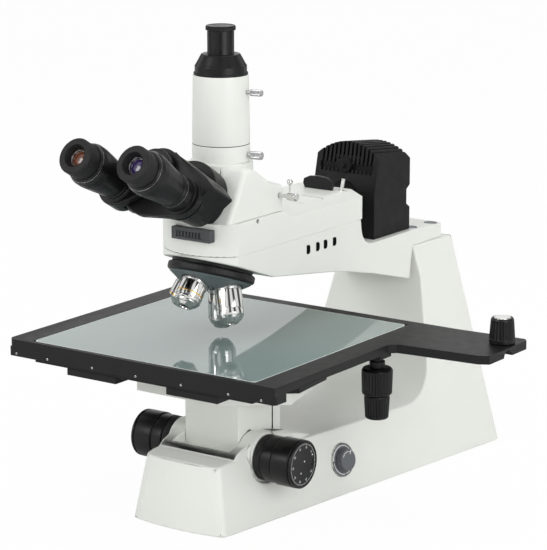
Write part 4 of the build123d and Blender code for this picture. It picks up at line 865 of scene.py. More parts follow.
@dataclass
class Stand:
    """The cast stand with its feet, covers, brightness control and power panel."""

    frame: dict
    edge: float = 2.2
    collar_radius: float = 25.2
    shaft_height: float = 71.0
    dial_origin: Vec = (77.08, 122.0, 40.0)
    dial_across: Vec = (0.1102, 1.0, 0.0)
    dial_along: Vec = (1.0, -0.1102, 0.207)
    dial_radius: float = 18.5
    knob_radius: float = 13.0

    def casting(self) -> None:
        """The white casting with soft edges."""
        shell = Shell("stand_casting", "stand_shell", "stand", "warm_white_paint", PAINT, self.edge, 4)
        shell.build(self.frame)

    def collars(self) -> None:
        """Black tension rings between the stand and the coarse knobs."""
        r = self.collar_radius
        outline = [
            (5, 57), (r - 5, 57), (r - 5, 58.5), (r, 58.5), (r, 65.4), (r - 1, 66.4), (5, 66.4), (5, 57),
        ]
        form = Form("tension_rings")
        for side in Side:
            seat = Seat((0.0, 0.0, self.shaft_height), (0.0, 1.0, 0.0), (side.value, 0.0, 0.0))
            Turning("ring", outline, seat, 0.4, 128, Grip.FINE, (59.4, 64.8), 90, 0.35).form(form)
        settle(form.build(), "stand", SATIN, ["shaft_collars"])

    def brightness(self) -> None:
        """Grey dial with its white wedge scale, and the knob that turns on it."""
        seat = Seat(self.dial_origin, self.dial_across, self.dial_along)
        radius = self.dial_radius
        plate = [
            (3.06, -12), (6.5, -12), (6.5, -1.0), (radius, -1.0), (radius, 1.0), (radius - 0.9, 1.2),
            (15.4, 1.2), (15.2, 0.9), (14.2, 0.9), (14.0, 1.2), (3.06, 1.2), (3.06, -12),
        ]
        settle(Turning("dial_plate_face", plate, seat, 0.25, 128).build(), "stand",
               DIAL_GREY, ["dial_plate"])
        scale = Form("brightness_scale")
        for start, end, inner, outer, taper in ((20, 175, 15.6, 17.6, 0.25), (182, 268, 15.6, 16.6, 1.0),
                                                (275, 372, 15.6, 17.2, 0.6)):
            scale.grid(seat.place(thickened(ring_sector(inner, outer, start, end, 1.18, taper), 0.1)),
                       closed_rows=True)
        settle(scale.build(), "stand", PRINT)
        r = self.knob_radius
        knob = [
            (0, -9), (3.0, -9), (3.0, 1.6), (r, 1.6), (r, 3.0), (r - 0.5, 8.2), (r - 1.3, 9.2), (0, 9.2),
        ]
        turned = Turning("brightness_grip", knob, seat, 0.4, 96, Grip.FLUTED, (2.8, 8.6), 24, 0.5)
        settle(turned.build(), "brightness", DIAL_GREY, ["brightness_knob"])
        mark = Form("brightness_pointer")
        for band in (ring_sector(6.5, 11.8, 55, 62, 9.15), ring_sector(8.9, 9.8, 62, 150, 9.15, 0.6)):
            mark.grid(seat.place(thickened(band, 0.12)), closed_rows=True)
        settle(mark.build(), "brightness", PRINT)

    def details(self) -> None:
        """Feet, covers, board, rails, plugs and the power panel."""
        finishes = {
            "rubber_feet": RUBBER, "bottom_cover": STEEL, "power_board": CIRCUIT, "guide_rails": STEEL,
            "bolt_plugs": DIAL_GREY, "power_panel": SLIDER_GREY, "power_rocker": MOULDED,
        }
        for node, finish in finishes.items():
            dress(node, finish, self.frame)

    def build(self) -> None:
        """Builds everything that stands on the bench."""
        self.casting()
        self.collars()
        self.brightness()
        self.details()


@dataclass
class FocusDrive:
    """Carriage with its rack, and the coaxial coarse and fine knobs."""

    frame: dict
    height: float = 71.0
    coarse_radius: float = 26.6
    neck_radius: float = 25.4
    fine_radius: float = 26.4
    face: float = 107.5
    recess: tuple[float, float] = (17.0, -1.2)
    sunk: float = 0.6
    graduations: int = 100
    tick_radii: tuple[float, float, float] = (21.6, 20.4, 22.9)
    number_radius: float = 18.6
    number_size: float = 3.2
    dots: tuple[tuple[float, float], ...] = ((2.6, 2.8), (-4.0, -9.1), (17.5, 7.0))
    joint_xy: tuple[tuple[float, float], tuple[float, float]] = ((33.4, 36.05), (43.1, 44.6))
    joint_heights: tuple[float, float] = (64.0, 125.0)

    def seat(self, side: Side) -> Seat:
        """The knobs' frame: local x points to the back, heights run outwards."""
        return Seat((0.0, 0.0, self.height), (0.0, 1.0, 0.0), (side.value, 0.0, 0.0))

    def coarse(self) -> None:
        """Both coarse knobs with their groove."""
        r, neck = self.coarse_radius, self.neck_radius
        outline = [
            (4, 67), (10, 67), (10, 95.5), (21.9, 95.5), (21.9, 67), (neck - 0.6, 67), (neck, 67.7),
            (neck, 80), (neck - 0.7, 80.4), (neck - 0.7, 81), (r - 0.5, 81.4), (r, 82), (r, 102.5),
            (r - 0.9, 103.5), (7, 103.5), (7, 99.5), (4, 99.5), (4, 67),
        ]
        form = Form("coarse_grips")
        for side in Side:
            Turning("grip", outline, self.seat(side), 0.45, 144).form(form)
        settle(form.build(), "coarse_drive", MOULDED, ["coarse_knobs"])
        dress("coarse_shaft", STEEL, self.frame)

    def fine(self) -> None:
        """Both fine knobs, each with a rim, a sunk face and a finger recess."""
        r, face = self.fine_radius, self.face
        rim = [
            (2.25, face - 7), (6, face - 7), (6, face - 3.5), (r - 0.9, face - 3.5), (r, face - 2.6),
            (r, face - 1), (r - 1, face), (r - 2.7, face), (r - 3.1, face - self.sunk),
            (0, face - self.sunk),
        ]
        for side in Side:
            node = "fine_knob_" + side.name.lower()
            seat = self.seat(side)
            shaft_end = side.value * (face - 2)
            outline = [(0, shaft_end), (2.25, shaft_end)] + rim
            piece = Turning(node + "_grip", outline, seat, 0.3, 144).build()
            self.sink(settle(piece, "fine_drive", MOULDED, [node]), seat)
            if side is Side.RIGHT:
                self.graduate(seat)
                self.number(seat)

    def sink(self, knob: bpy.types.Object, seat: Seat) -> None:
        """Cuts the finger recess into a knob's face with a round cutter.

        Args:
            knob: The knob that is cut.
            seat: The knob's frame.
        """
        back, rise = self.recess
        middle = seat.place(np.array([back, rise * seat.along[0], 0.0]))
        place = Seat(tuple(middle), seat.across, seat.along)
        face = self.face
        bowl = [(0, face - 2.2), (3.0, face - 2.0), (4.2, face - 1.2), (4.4, face + 1), (0, face + 1)]
        cutter = Turning("recess_cutter", bowl, place, 0.4, 48).build()
        cut = knob.modifiers.new("finger_recess", "BOOLEAN")
        cut.object = cutter
        cut.operation = "DIFFERENCE"
        cut.solver = "EXACT"
        evaluated = knob.evaluated_get(bpy.context.evaluated_depsgraph_get())
        mesh = bpy.data.meshes.new_from_object(evaluated)
        knob.modifiers.clear()
        old = knob.data
        knob.data = mesh
        mesh.set_sharp_from_angle(angle=math.radians(CREASE_DEGREES))
        bpy.data.meshes.remove(old)
        bpy.data.objects.remove(cutter)

    def graduate(self, seat: Seat) -> None:
        """Engraved ticks round the rim, every tenth longer, and three dots on the face.

        Args:
            seat: The knob's frame.
        """
        level = self.face - self.sunk
        short, long, outer = self.tick_radii
        ticks = Form("fine_graduations")
        for index in range(self.graduations):
            inner = long if index % 10 == 0 else short
            angle = 360.0 * index / self.graduations
            bar = ring_sector(inner, outer, angle - 0.5, angle + 0.5, level - 0.04, steps=2)
            ticks.grid(seat.place(thickened(bar, 0.1)), closed_rows=True)
        for x, y in self.dots:
            dot = Seat(tuple(seat.place(np.array([x, y, level]))), seat.across, seat.along)
            ticks.turned(np.array([(0, -0.1), (1.0, -0.05), (0.9, 0.2), (0, 0.35)]), dot, 16)
        settle(ticks.build(), "fine_drive", PRINT)

    def number(self, seat: Seat) -> None:
        """Numbers from 10 to 90 inside the ticks.

        Args:
            seat: The knob's frame.
        """
        words, places = [], []
        for index in range(1, 10):
            angle = 36.0 * index
            sine, cosine = tilted(angle)
            words.append(str(index * 10))
            places.append((self.number_radius * cosine, self.number_radius * sine, angle - 90.0))
        level = self.face - self.sunk + 0.02
        numbers = numerals("fine_numbers", words, places, self.number_size, seat, level)
        settle(numbers, "fine_drive", PRINT)

    def build(self) -> None:
        """Builds the focus drive."""
        self.coarse()
        self.fine()
        for node, name, width in (("focus_carriage", "carriage_shell", 1.2),
                                  ("support_plate", "support_plate_shell", 1.0)):
            Shell(node, name, "carriage", "warm_white_paint", PAINT, width).build(self.frame)
        dress("focus_rack", STEEL, self.frame)
        joint = Form("carriage_joint")
        strip = box_outline(*self.joint_xy)
        for side in Side:
            joint.slab(strip * np.array([side.value, 1.0]), upright(), *self.joint_heights)
        settle(joint.build(), "carriage", SEAM_AND_SHADE)


@dataclass
class StageStack:
    """The wide stage: two slides, the frame with its glass, and the controls at its side."""

    frame: dict
    bevel: float = 0.56
    frame_bevel: float = 0.8
    drive_x: float = 150.0
    drive_y: float = 78.0
    clutch_x: float = 270.0
    clutch_y: float = 137.0
    top: float = 201.0
    glass_half: float = 146.0
    glass_front: float = -144.0
    glass_back: float = 146.0
    glass_low: float = 195.0
    glass_gap: float = 0.4
    glass_corner: float = 7.0
    rim: float = 1.1
    skirt_y: float = -150.0
    skirt_screw_z: float = 185.6
    skirt_screws: tuple[float, ...] = (-164.0, -121.0, -60.0, -2.0, 57.0, 117.0, 158.0)

    def plates(self) -> None:
        """The black plates with broken edges."""
        for node, body in (("lower_plate", "carriage"), ("moving_y_rails", "y_slide"),
                           ("middle_plate", "y_slide"), ("drive_neck", "y_slide")):
            shell = Shell(node, node + "_black", body, "black_anodised", ANODISED, self.bevel, 2)
            shell.build(self.frame)
        Shell("stage_frame", "stage_top_frame", "stage", "black_anodised", ANODISED, self.frame_bevel,
              clamped=True).build(self.frame)

    def plate_glass(self) -> None:
        """The glass with its pale polished rim and rounded corners.

        The outline is a rectangle whose corners follow quarter circles.
        """
        half, radius = self.glass_half - self.glass_gap, self.glass_corner
        front, back = self.glass_front + self.glass_gap, self.glass_back - self.glass_gap
        turn = np.radians(np.linspace(0.0, 90.0, 9))
        corners = ((half - radius, back - radius, 0), (-half + radius, back - radius, 90),
                   (-half + radius, front + radius, 180), (half - radius, front + radius, 270))
        outline = np.concatenate([
            np.column_stack([x + radius * np.cos(turn + math.radians(start)),
                             y + radius * np.sin(turn + math.radians(start))])
            for x, y, start in corners
        ])
        middle = np.array([0.0, (front + back) / 2])
        inner = middle + (outline - middle) * (1.0 - self.rim / half)
        low = self.glass_low
        glass = Form("glass_plate").slab(inner, upright(), low, self.top)
        settle(glass.build(), "stage", STAGE_GLASS, ["stage_glass"])
        rings = [(outline, low), (outline, self.top - 0.35), (outline * 0.9985, self.top),
                 (inner, self.top), (inner, low)]
        layers = np.stack([np.column_stack([ring, np.full(len(ring), level)]) for ring, level in rings])
        edge = Form("glass_rim").grid(layers, closed_rows=True, closed_columns=True)
        settle(edge.build(), "stage", GLASS_EDGE)

    def controls(self) -> None:
        """Two coaxial drive knobs and the clutch knob, all with ribs."""
        seat = upright(self.drive_x, self.drive_y)
        upper = [
            (3.05, 139), (15.3, 139), (16.4, 140.2), (17, 160), (17, 166.0), (15.3, 168.3), (4.5, 168.3),
            (4.5, 184), (3.05, 184), (3.05, 139),
        ]
        grip = Turning("y_drive_grip", upper, seat, 0.6, 96, Grip.RIBBED, (141.0, 166.0), 30, 0.8)
        settle(grip.build(), "y_knob", MOULDED, ["y_drive_knob"])
        lower = [
            (0, 112), (11.6, 112), (12.8, 113.2), (14, 134), (14, 137.2), (12.8, 138.7), (3, 138.7),
            (3, 186.3), (0, 186.3),
        ]
        grip = Turning("x_drive_grip", lower, seat, 0.6, 96, Grip.RIBBED, (114.0, 136.4), 26, 0.8)
        settle(grip.build(), "x_knob", MOULDED, ["x_drive_knob"])
        seat = upright(self.clutch_x, self.clutch_y)
        clutch = [
            (0, 191.8), (4, 191.8), (4, 201.4), (13.6, 201.4), (14, 202), (14, 206), (12.5, 227),
            (11.4, 229.2), (10.0, 229.2), (9.8, 228), (0, 228),
        ]
        grip = Turning("clutch_grip", clutch, seat, 0.5, 96, Grip.RIBBED, (206.0, 226.5), 22, 0.9)
        settle(grip.build(), "clutch", MOULDED, ["clutch_knob"])
        cap = [(0, 227.6), (9.7, 227.6), (9.7, 229.3), (8.8, 229.8), (3.0, 229.5), (0, 229.5)]
        settle(Turning("clutch_cap", cap, seat, 0.4, 64).build(), "clutch", CHROME)

    def screws(self) -> None:
        """Small screws with round sockets along the front skirt."""
        form = Form("skirt_screws")
        head = [(0, -0.5), (1.2, -0.5), (1.2, 0.05), (1.0, 0.15), (0.6, 0.15), (0.55, -0.2), (0, -0.2)]
        for x in self.skirt_screws:
            seat = Seat((x, self.skirt_y, self.skirt_screw_z), (1.0, 0.0, 0.0), (0.0, -1.0, 0.0))
            form.turned(np.array(head), seat, 18)
        settle(form.build(), "stage", CHROME)

    def build(self) -> None:
        """Builds the stage."""
        self.plates()
        self.plate_glass()
        self.controls()
        self.screws()


@dataclass
class Nosepiece:
    """The tilted four-place turret with its objectives."""

    frame: dict
    apex: Vec = (0.0, 0.0, 324.2)
    tilt: float = 20.0
    objective_tilt: float = 20.0
    barrel_radius: float = 14.6
    barrel_crease: float = 18.0
    gold_rings: tuple[tuple[int, float], ...] = ((2, 90.2), (3, 92.4))

    def seat(self) -> Seat:
        """The turret's frame, heights running down and forwards."""
        sine, cosine = tilted(self.tilt)
        return Seat(self.apex, (1.0, 0.0, 0.0), (0.0, -sine, -cosine))

    def place(self, index: int) -> Seat:
        """The frame of one objective, a quarter turn from the one before it.

        Args:
            index: Number of the place; the first is on the optical axis.

        Returns:
            Its seat.
        """
        sine, cosine = tilted(self.objective_tilt)
        turn = math.radians(90.0 + 90.0 * index)
        local = np.array([-sine * math.cos(turn), -sine * math.sin(turn), cosine])
        flat = self.seat()
        along = Seat((0.0, 0.0, 0.0), flat.across, flat.along).place(local)
        return Seat(self.apex, (1.0, 0.0, 0.0), tuple(along))

    def turret(self) -> None:
        """Fixed disc, knurled rim and grey cone."""
        seat = self.seat()
        dress("nosepiece_mount", ANODISED, self.frame)
        rim = [
            (31, 50.8), (44.5, 50.8), (46.4, 51.4), (47.5, 53), (47.5, 58), (46.4, 60), (44.6, 60.4),
            (31, 60.4), (31, 50.8),
        ]
        piece = Turning("turret_grip_ring", rim, seat, 0.5, 96, Grip.FINE, (52.4, 59.2), 110, 0.2).build()
        settle(piece, "turret", SATIN, ["turret_rim"])
        cone = Shell("turret_body", "turret_cone", "turret", "grey_nosepiece", NOSE_GREY, 0.5, 2)
        cone.build(self.frame)

    def groove(self, level: float) -> list[tuple[float, float]]:
        """Outline of a narrow groove round a barrel, from the height where it starts."""
        r = self.barrel_radius
        return [(r, level), (r - 0.5, level + 0.3), (r - 0.5, level + 0.9), (r, level + 1.2)]

    def barrels(self) -> dict[str, list[tuple[float, float]]]:
        """Outlines of the objectives past the shoulder.

        Returns:
            Each solid's outline, in the order of their places.
        """
        return {
            "objective_a": self.groove(103.4) + [
                (14.6, 106), (13.6, 108), (12.6, 109.8), (11.4, 112), (10.6, 112.4), (9.9, 113.2),
                (8.2, 115.6), (7.6, 116), (5.3, 116), (5, 113.2), (0, 113.2),
            ],
            "objective_b": self.groove(97.4) + [
                (14.6, 104), (13.6, 106), (12.4, 108), (11.4, 109.3), (10.4, 109.7), (9.4, 110.8),
                (7.7, 112.8), (7, 113), (4.3, 113), (4, 111.2), (0, 111.2),
            ],
            "objective_c": [
                (14.6, 93.8), (13.9, 94.2), (13.9, 95), (14.5, 95.4), (14.5, 97), (13.4, 98.8), (13, 99),
                (12.8, 100), (11, 101.7), (10.4, 101.9), (9.8, 102.6), (7.8, 104.7), (7, 105),
                (5.3, 105), (5, 102.8), (0, 102.8),
            ],
            "objective_d": self.groove(89.0) + [
                (14.6, 94), (13, 95.6), (11.6, 97.2), (9, 99.4), (8.6, 99.8), (8, 100.6), (6.2, 102.8),
                (5.6, 103), (3.8, 103), (3.5, 101.2), (0, 101.2),
            ],
        }

    def objectives(self) -> None:
        """Four chromed barrels with grooves, and their knurled bands."""
        r = self.barrel_radius
        shoulder = [
            (0, 62), (7.9, 62), (7.9, 70.5), (13.8, 70.5), (r, 71.6), (r, 76.4), (r - 0.5, 76.8),
            (r - 0.5, 77.6), (r, 78),
        ]
        for index, (node, outline) in enumerate(self.barrels().items()):
            barrel = Turning(node + "_barrel", shoulder + outline, self.place(index), 0.18, 128)
            settle(barrel.form().build(self.barrel_crease), "turret", CHROME, [node])
        settle(self.bands().build(), "turret", STEEL)
        dress("front_lenses", SATIN, self.frame)

    def bands(self) -> Form:
        """The knurled bands of all four objectives as one form."""
        bands = Form("knurled_bands")
        band = [(13.9, 71.7), (14.7, 71.9), (14.7, 76.1), (13.9, 76.3), (13.9, 71.7)]
        for index in range(4):
            turning = Turning("band", band, self.place(index), 0.15, 96, Grip.FINE, (72.2, 75.8), 70, 0.35)
            turning.form(bands)
        return bands

    def rings(self) -> None:
        """Painted rings that mark the powers."""
        for index, level in self.gold_rings:
            ring = [
                (14.0, level - 0.9), (14.68, level - 0.8), (14.68, level + 0.8), (14.0, level + 0.9),
                (14.0, level - 0.9),
            ]
            piece = Turning(f"power_ring_{index}", ring, self.place(index), 0.1, 96).build()
            settle(piece, "turret", GOLD)

    def build(self) -> None:
        """Builds the nosepiece."""
        self.turret()
        self.objectives()
        self.rings()


@dataclass
class Arm:
    """The arm's casting and cover with the illuminator's controls and the lamp house."""

    frame: dict
    edge: float = 1.6
    seam_z: float = 299.0
    vents: tuple[float, ...] = (92.8, 111.2, 126.4, 144.4)
    vent_x: float = 48.5
    vent_z: float = 283.0
    vent_radius: float = 3.4
    vent_straight: float = 1.6
    vent_fill: float = 1.62
    set_screw: Vec = (47.0, -3.0, 331.0)
    slider_x: float = -7.0
    ridges: int = 7
    ridge_pitch: float = 4.2
    ridge_y: float = -65.2
    ridge_heights: tuple[float, float] = (320.0, 325.0)
    liner_xy: tuple[tuple[float, float], tuple[float, float]] = ((-37.0, 37.0), (247.0, 248.0))
    liner_heights: tuple[float, float] = (339.0, 351.0)
    joint_rise: float = 0.04
    joint_half: float = 0.3

    def shells(self) -> None:
        """White castings with soft edges, and the black finned lamp house."""
        for node, name in (("arm_casting", "arm_lower_shell"), ("arm_cover", "arm_upper_shell")):
            Shell(node, name, "stand", "warm_white_paint", PAINT, self.edge,
                  clamped=node == "arm_cover").build(self.frame)
        house = Shell("lamp_house", "lamp_house_shell", "stand", "black_plastic", TEXTURED, 0.6, 2)
        house.build(self.frame)
        liner = Form("lamp_house_liner").slab(box_outline(*self.liner_xy), upright(), *self.liner_heights)
        settle(liner.build(), "stand", TEXTURED)
        dress("lamp_collar", ANODISED, self.frame)
        dress("lamp_bulb", LAMP_GLASS, self.frame)

    def openings(self) -> None:
        """Painted shade as dark fills inside the vents and the set-screw hole, and the dark joint below
        the cover.
        """
        form = Form("vent_shadows")
        radius, straight = self.vent_radius, self.vent_straight
        turn = np.radians(np.linspace(0.0, 180.0, 13))
        cap = np.column_stack([radius * np.cos(turn), straight + radius * np.sin(turn)])
        oval = np.concatenate([cap, -cap])
        for y in self.vents:
            seat = Seat((self.vent_x, y, self.vent_z), (0.0, 1.0, 0.0), (1.0, 0.0, 0.0))
            form.slab(oval, seat, 0.0, self.vent_fill)
        # Painted shade: a dark plug stands for the shade inside the set-screw hole.
        hole = Seat(self.set_screw, (0.0, 1.0, 0.0), (1.0, 0.0, 0.0))
        screw = [(0.0, -1.0), (2.35, -1.0), (2.35, 0.8), (1.1, 0.8), (1.0, 0.2), (0.0, 0.2)]
        form.turned(np.array(screw), hole, 32)
        settle(form.build(), "stand", SEAM_AND_SHADE)
        outline = section(self.frame["nodes"]["arm_cover"], self.seam_z, -self.joint_rise)
        joint = Form("cover_joint").slab(outline, upright(), self.seam_z - self.joint_half,
                                         self.seam_z + self.joint_half)
        settle(joint.build(), "stand", SEAM_AND_SHADE)

    def controls(self) -> None:
        """Slider, aperture lever, filter tab and field lever."""
        Shell("front_slider", "slider_grip", "slider", "grey_plastic", SLIDER_GREY, 0.2).build(self.frame)
        ridges = Form("slider_ridges")
        low, high = self.ridge_heights
        for index in range(self.ridges):
            x = self.slider_x + self.ridge_pitch * index
            ridges.tube(np.array([[x, self.ridge_y, low], [x, self.ridge_y, high]]), 0.75, 12)
        settle(ridges.build(), "slider", MOULDED)
        for shell in (
            Shell("filter_tab", "filter_thumb_tab", "filter_holder", "black_plastic", MOULDED, 0.8),
            Shell("flat_lever", "field_lever_blade", "field_lever", "chrome", CHROME, 0.25, 2),
            Shell("lever_pin", "aperture_lever_pin", "aperture_lever", "chrome", CHROME, 0.1, 1),
        ):
            shell.build(self.frame)

    def build(self) -> None:
        """Builds the arm."""
        self.shells()
        self.openings()
        self.controls()


@dataclass
class Head:
    """The prism head with its phototube, camera sleeve, cap, screws and selector rod."""

    frame: dict
    screw_turn: float = 10.0
    screw_start: float = 22.0
    screw_heights: tuple[float, float] = (466.5, 399.5)
    screw_radii: tuple[float, float] = (3.6, 4.4)
    rod_y: float = 40.5
    rod_z: float = 352.0

    def body(self) -> None:
        """The white prism housing."""
        Shell("head_body", "prism_housing", "stand", "warm_white_paint", PAINT, 1.4).build(self.frame)

    def phototube(self) -> None:
        """White tube with a fine joint above its lower ring."""
        outline = [
            (24, 392), (31, 392), (31, 409.6), (30.4, 410.1), (30.4, 410.7), (30.9, 411.0), (29.8, 483.4),
            (29.2, 484), (24, 484), (24, 392),
        ]
        settle(Turning("phototube_shell", outline, upright(), 0.3, 144).build(), "stand",
               PAINT, ["photo_tube"])
        ring = [(30.2, 410.0), (30.66, 410.1), (30.66, 410.65), (30.2, 410.75), (30.2, 410.0)]
        line = Turning("phototube_joint", ring, upright(), 0.02, 144)
        settle(line.build(), "stand", SEAM_AND_SHADE)
        sleeve = [
            (13.05, 500), (13.05, 531), (14.3, 531), (14.3, 506), (20.4, 506), (21.2, 505), (26.3, 495.6),
            (27.8, 493.4), (27.8, 486.8), (29, 486.3), (29, 484), (11, 484), (11, 500), (13.05, 500),
        ]
        settle(Turning("camera_sleeve_shell", sleeve, upright(), 0.4, 144).build(), "stand",
               SATIN, ["camera_sleeve"])
        cap = [
            (0, 522), (13.0, 522), (13.0, 531.2), (16, 531.2), (16, 534.8), (15.2, 536), (13.6, 536),
            (13.0, 535.6), (0, 535.6),
        ]
        settle(Turning("dust_cap", cap, upright(), 0.35, 96, Grip.FINE, (531.6, 534.8), 60, 0.3).build(),
               "dust_cap", MOULDED, ["photo_cap"])

    def screws(self) -> None:
        """Knurled clamp screws, pointing out and a little back."""
        sine, cosine = tilted(self.screw_turn)
        names = (("upper_screw", "clamp_screw_upper"), ("lower_screw", "clamp_screw_lower"))
        for (body, node), z, r in zip(names, self.screw_heights, self.screw_radii):
            out = self.screw_start
            seat = Seat((out * cosine, out * sine, z), (-sine, cosine, 0.0), (cosine, sine, 0.0))
            outline = [
                (0, 2.2), (2.0, 2.2), (2.0, 13), (r, 13), (r, 13.8), (r, 25), (r - 0.6, 26.5), (0, 26.5),
            ]
            screw = Turning(node + "_head", outline, seat, 0.3, 48, Grip.FINE, (13.8, 25.4), 30, 0.35)
            settle(screw.build(), body, STEEL, [node])

    def selector(self) -> None:
        """Polished rod of the beam selector."""
        seat = Seat((0.0, self.rod_y, self.rod_z), (0.0, 1.0, 0.0), (1.0, 0.0, 0.0))
        outline = [(0, 24), (2.2, 24), (2.2, 58), (3.4, 58), (4.2, 59), (4.2, 69.5), (3.4, 71), (0, 71)]
        settle(Turning("selector_rod", outline, seat, 0.4, 48).build(), "beam_rod", CHROME,
               ["pull_rod"])

    def build(self) -> None:
        """Builds the head."""
        self.body()
        self.phototube()
        self.screws()
        self.selector()


@dataclass
class Binocular:
    """Two swinging prism housings with their eyepieces on one hinge."""

    frame: dict
    origin: Vec = (0.0, -200.3, 422.6)
    tilt: float = 30.0
    half_spacing: float = 37.0
    lens_radius: float = 9.8
    joint_lines: tuple[tuple[float, float], ...] = ((18.62, -76.4), (21.7, -21.3))
    # Colours of the coating sheen that is painted into each lens's base colour.
    sheen_tints: dict[Side, Colour] = field(default_factory=lambda: {Side.LEFT: (0.17, 0.05, 0.022),
                                                               Side.RIGHT: (0.035, 0.018, 0.1)})

    def seat(self, x: float = 0.0) -> Seat:
        """A frame along the eyepieces: heights run towards the user's eyes."""
        sine, cosine = tilted(self.tilt)
        return Seat((x, self.origin[1], self.origin[2]), (1.0, 0.0, 0.0), (0.0, -cosine, sine))

    def housings(self) -> None:
        """Hinge disc and both prism housings in black satin."""
        for node, body, width in (("bino_hub", "stand", 1.2), ("left_wing", "left_eye", 1.4),
                                  ("right_wing", "right_eye", 1.2)):
            Shell(node, node + "_shell", body, "black_plastic", SATIN, width).build(self.frame)

    def tubes(self, side: Side) -> None:
        """The tube and the eyepiece of one side.

        Args:
            side: Which eye.
        """
        word = side.name.lower()
        seat = self.seat(side.value * self.half_spacing)
        tube = [
            (15, -86), (17, -86), (17, -76.5), (18.6, -76.5), (18.6, -72.5), (17.8, -71.9), (17.8, -70.5),
            (18.6, -69.9), (19.8, -60.5), (21.8, -45.5), (23.2, -33.5), (23.2, -25.5), (21.6, -21.1),
            (19.8, -19), (15, -19), (15, -86),
        ]
        settle(Turning(word + "_tube", tube, seat, 0.3, 144).build(), word + "_eye",
               SATIN, [word + "_eye_tube"])
        barrel = [
            (12.2, -0.4), (12.8, 0), (18.1, 0), (19.5, -1.6), (19.5, -5.2), (19.1, -5.5), (19.1, -6.1),
            (19.5, -6.4), (19.5, -12.6), (19, -13.2), (19, -19), (14.9, -19), (14.9, -57), (9.8, -57),
            (9.8, -8.5), (12.2, -0.4),
        ]
        piece = Turning(word + "_eyepiece_barrel", barrel, seat, 0.25, 144).build()
        settle(piece, word + "_eye", CUP_RUBBER, [word + "_eyepiece"])

    def lens(self, side: Side) -> None:
        """The coated lens of one side with its painted coating sheen, its bright ring and the bright joint
        lines of the tube.

        Args:
            side: Which eye.
        """
        word = side.name.lower()
        body = word + "_eye"
        seat = self.seat(side.value * self.half_spacing)
        lens = [(0, -8), (4.9, -8.6), (self.lens_radius, -10.4), (self.lens_radius, -14), (0, -14)]
        centre = tuple(seat.place(np.array([0.0, 0.0, -9.0])))
        coated = CoatedLens(word + "_lens_coating", self.sheen_tints[side], centre, self.lens_radius)
        settle(Turning(word + "_lens", lens, seat, 0.5, 96).build(), body, coated,
               [word + "_eye_lens"])
        ring = [(9.3, -9.9), (9.75, -9.0), (9.8, -8.4), (9.8, -10.2), (9.3, -9.9)]
        settle(Turning(word + "_lens_ring", ring, seat, 0.05, 96).build(), body, CHROME)
        lines = Form(word + "_joint_lines")
        for r, level in self.joint_lines:
            ring = [
                (r - 0.3, level - 0.16), (r, level - 0.12), (r, level + 0.12), (r - 0.3, level + 0.16),
                (r - 0.3, level - 0.16),
            ]
            Turning("line", ring, seat, 0.05, 128).form(lines)
        settle(lines.build(), body, STEEL)

    def build(self) -> None:
        """Builds the binocular."""
        self.housings()
        for side in Side:
            self.tubes(side)
            self.lens(side)


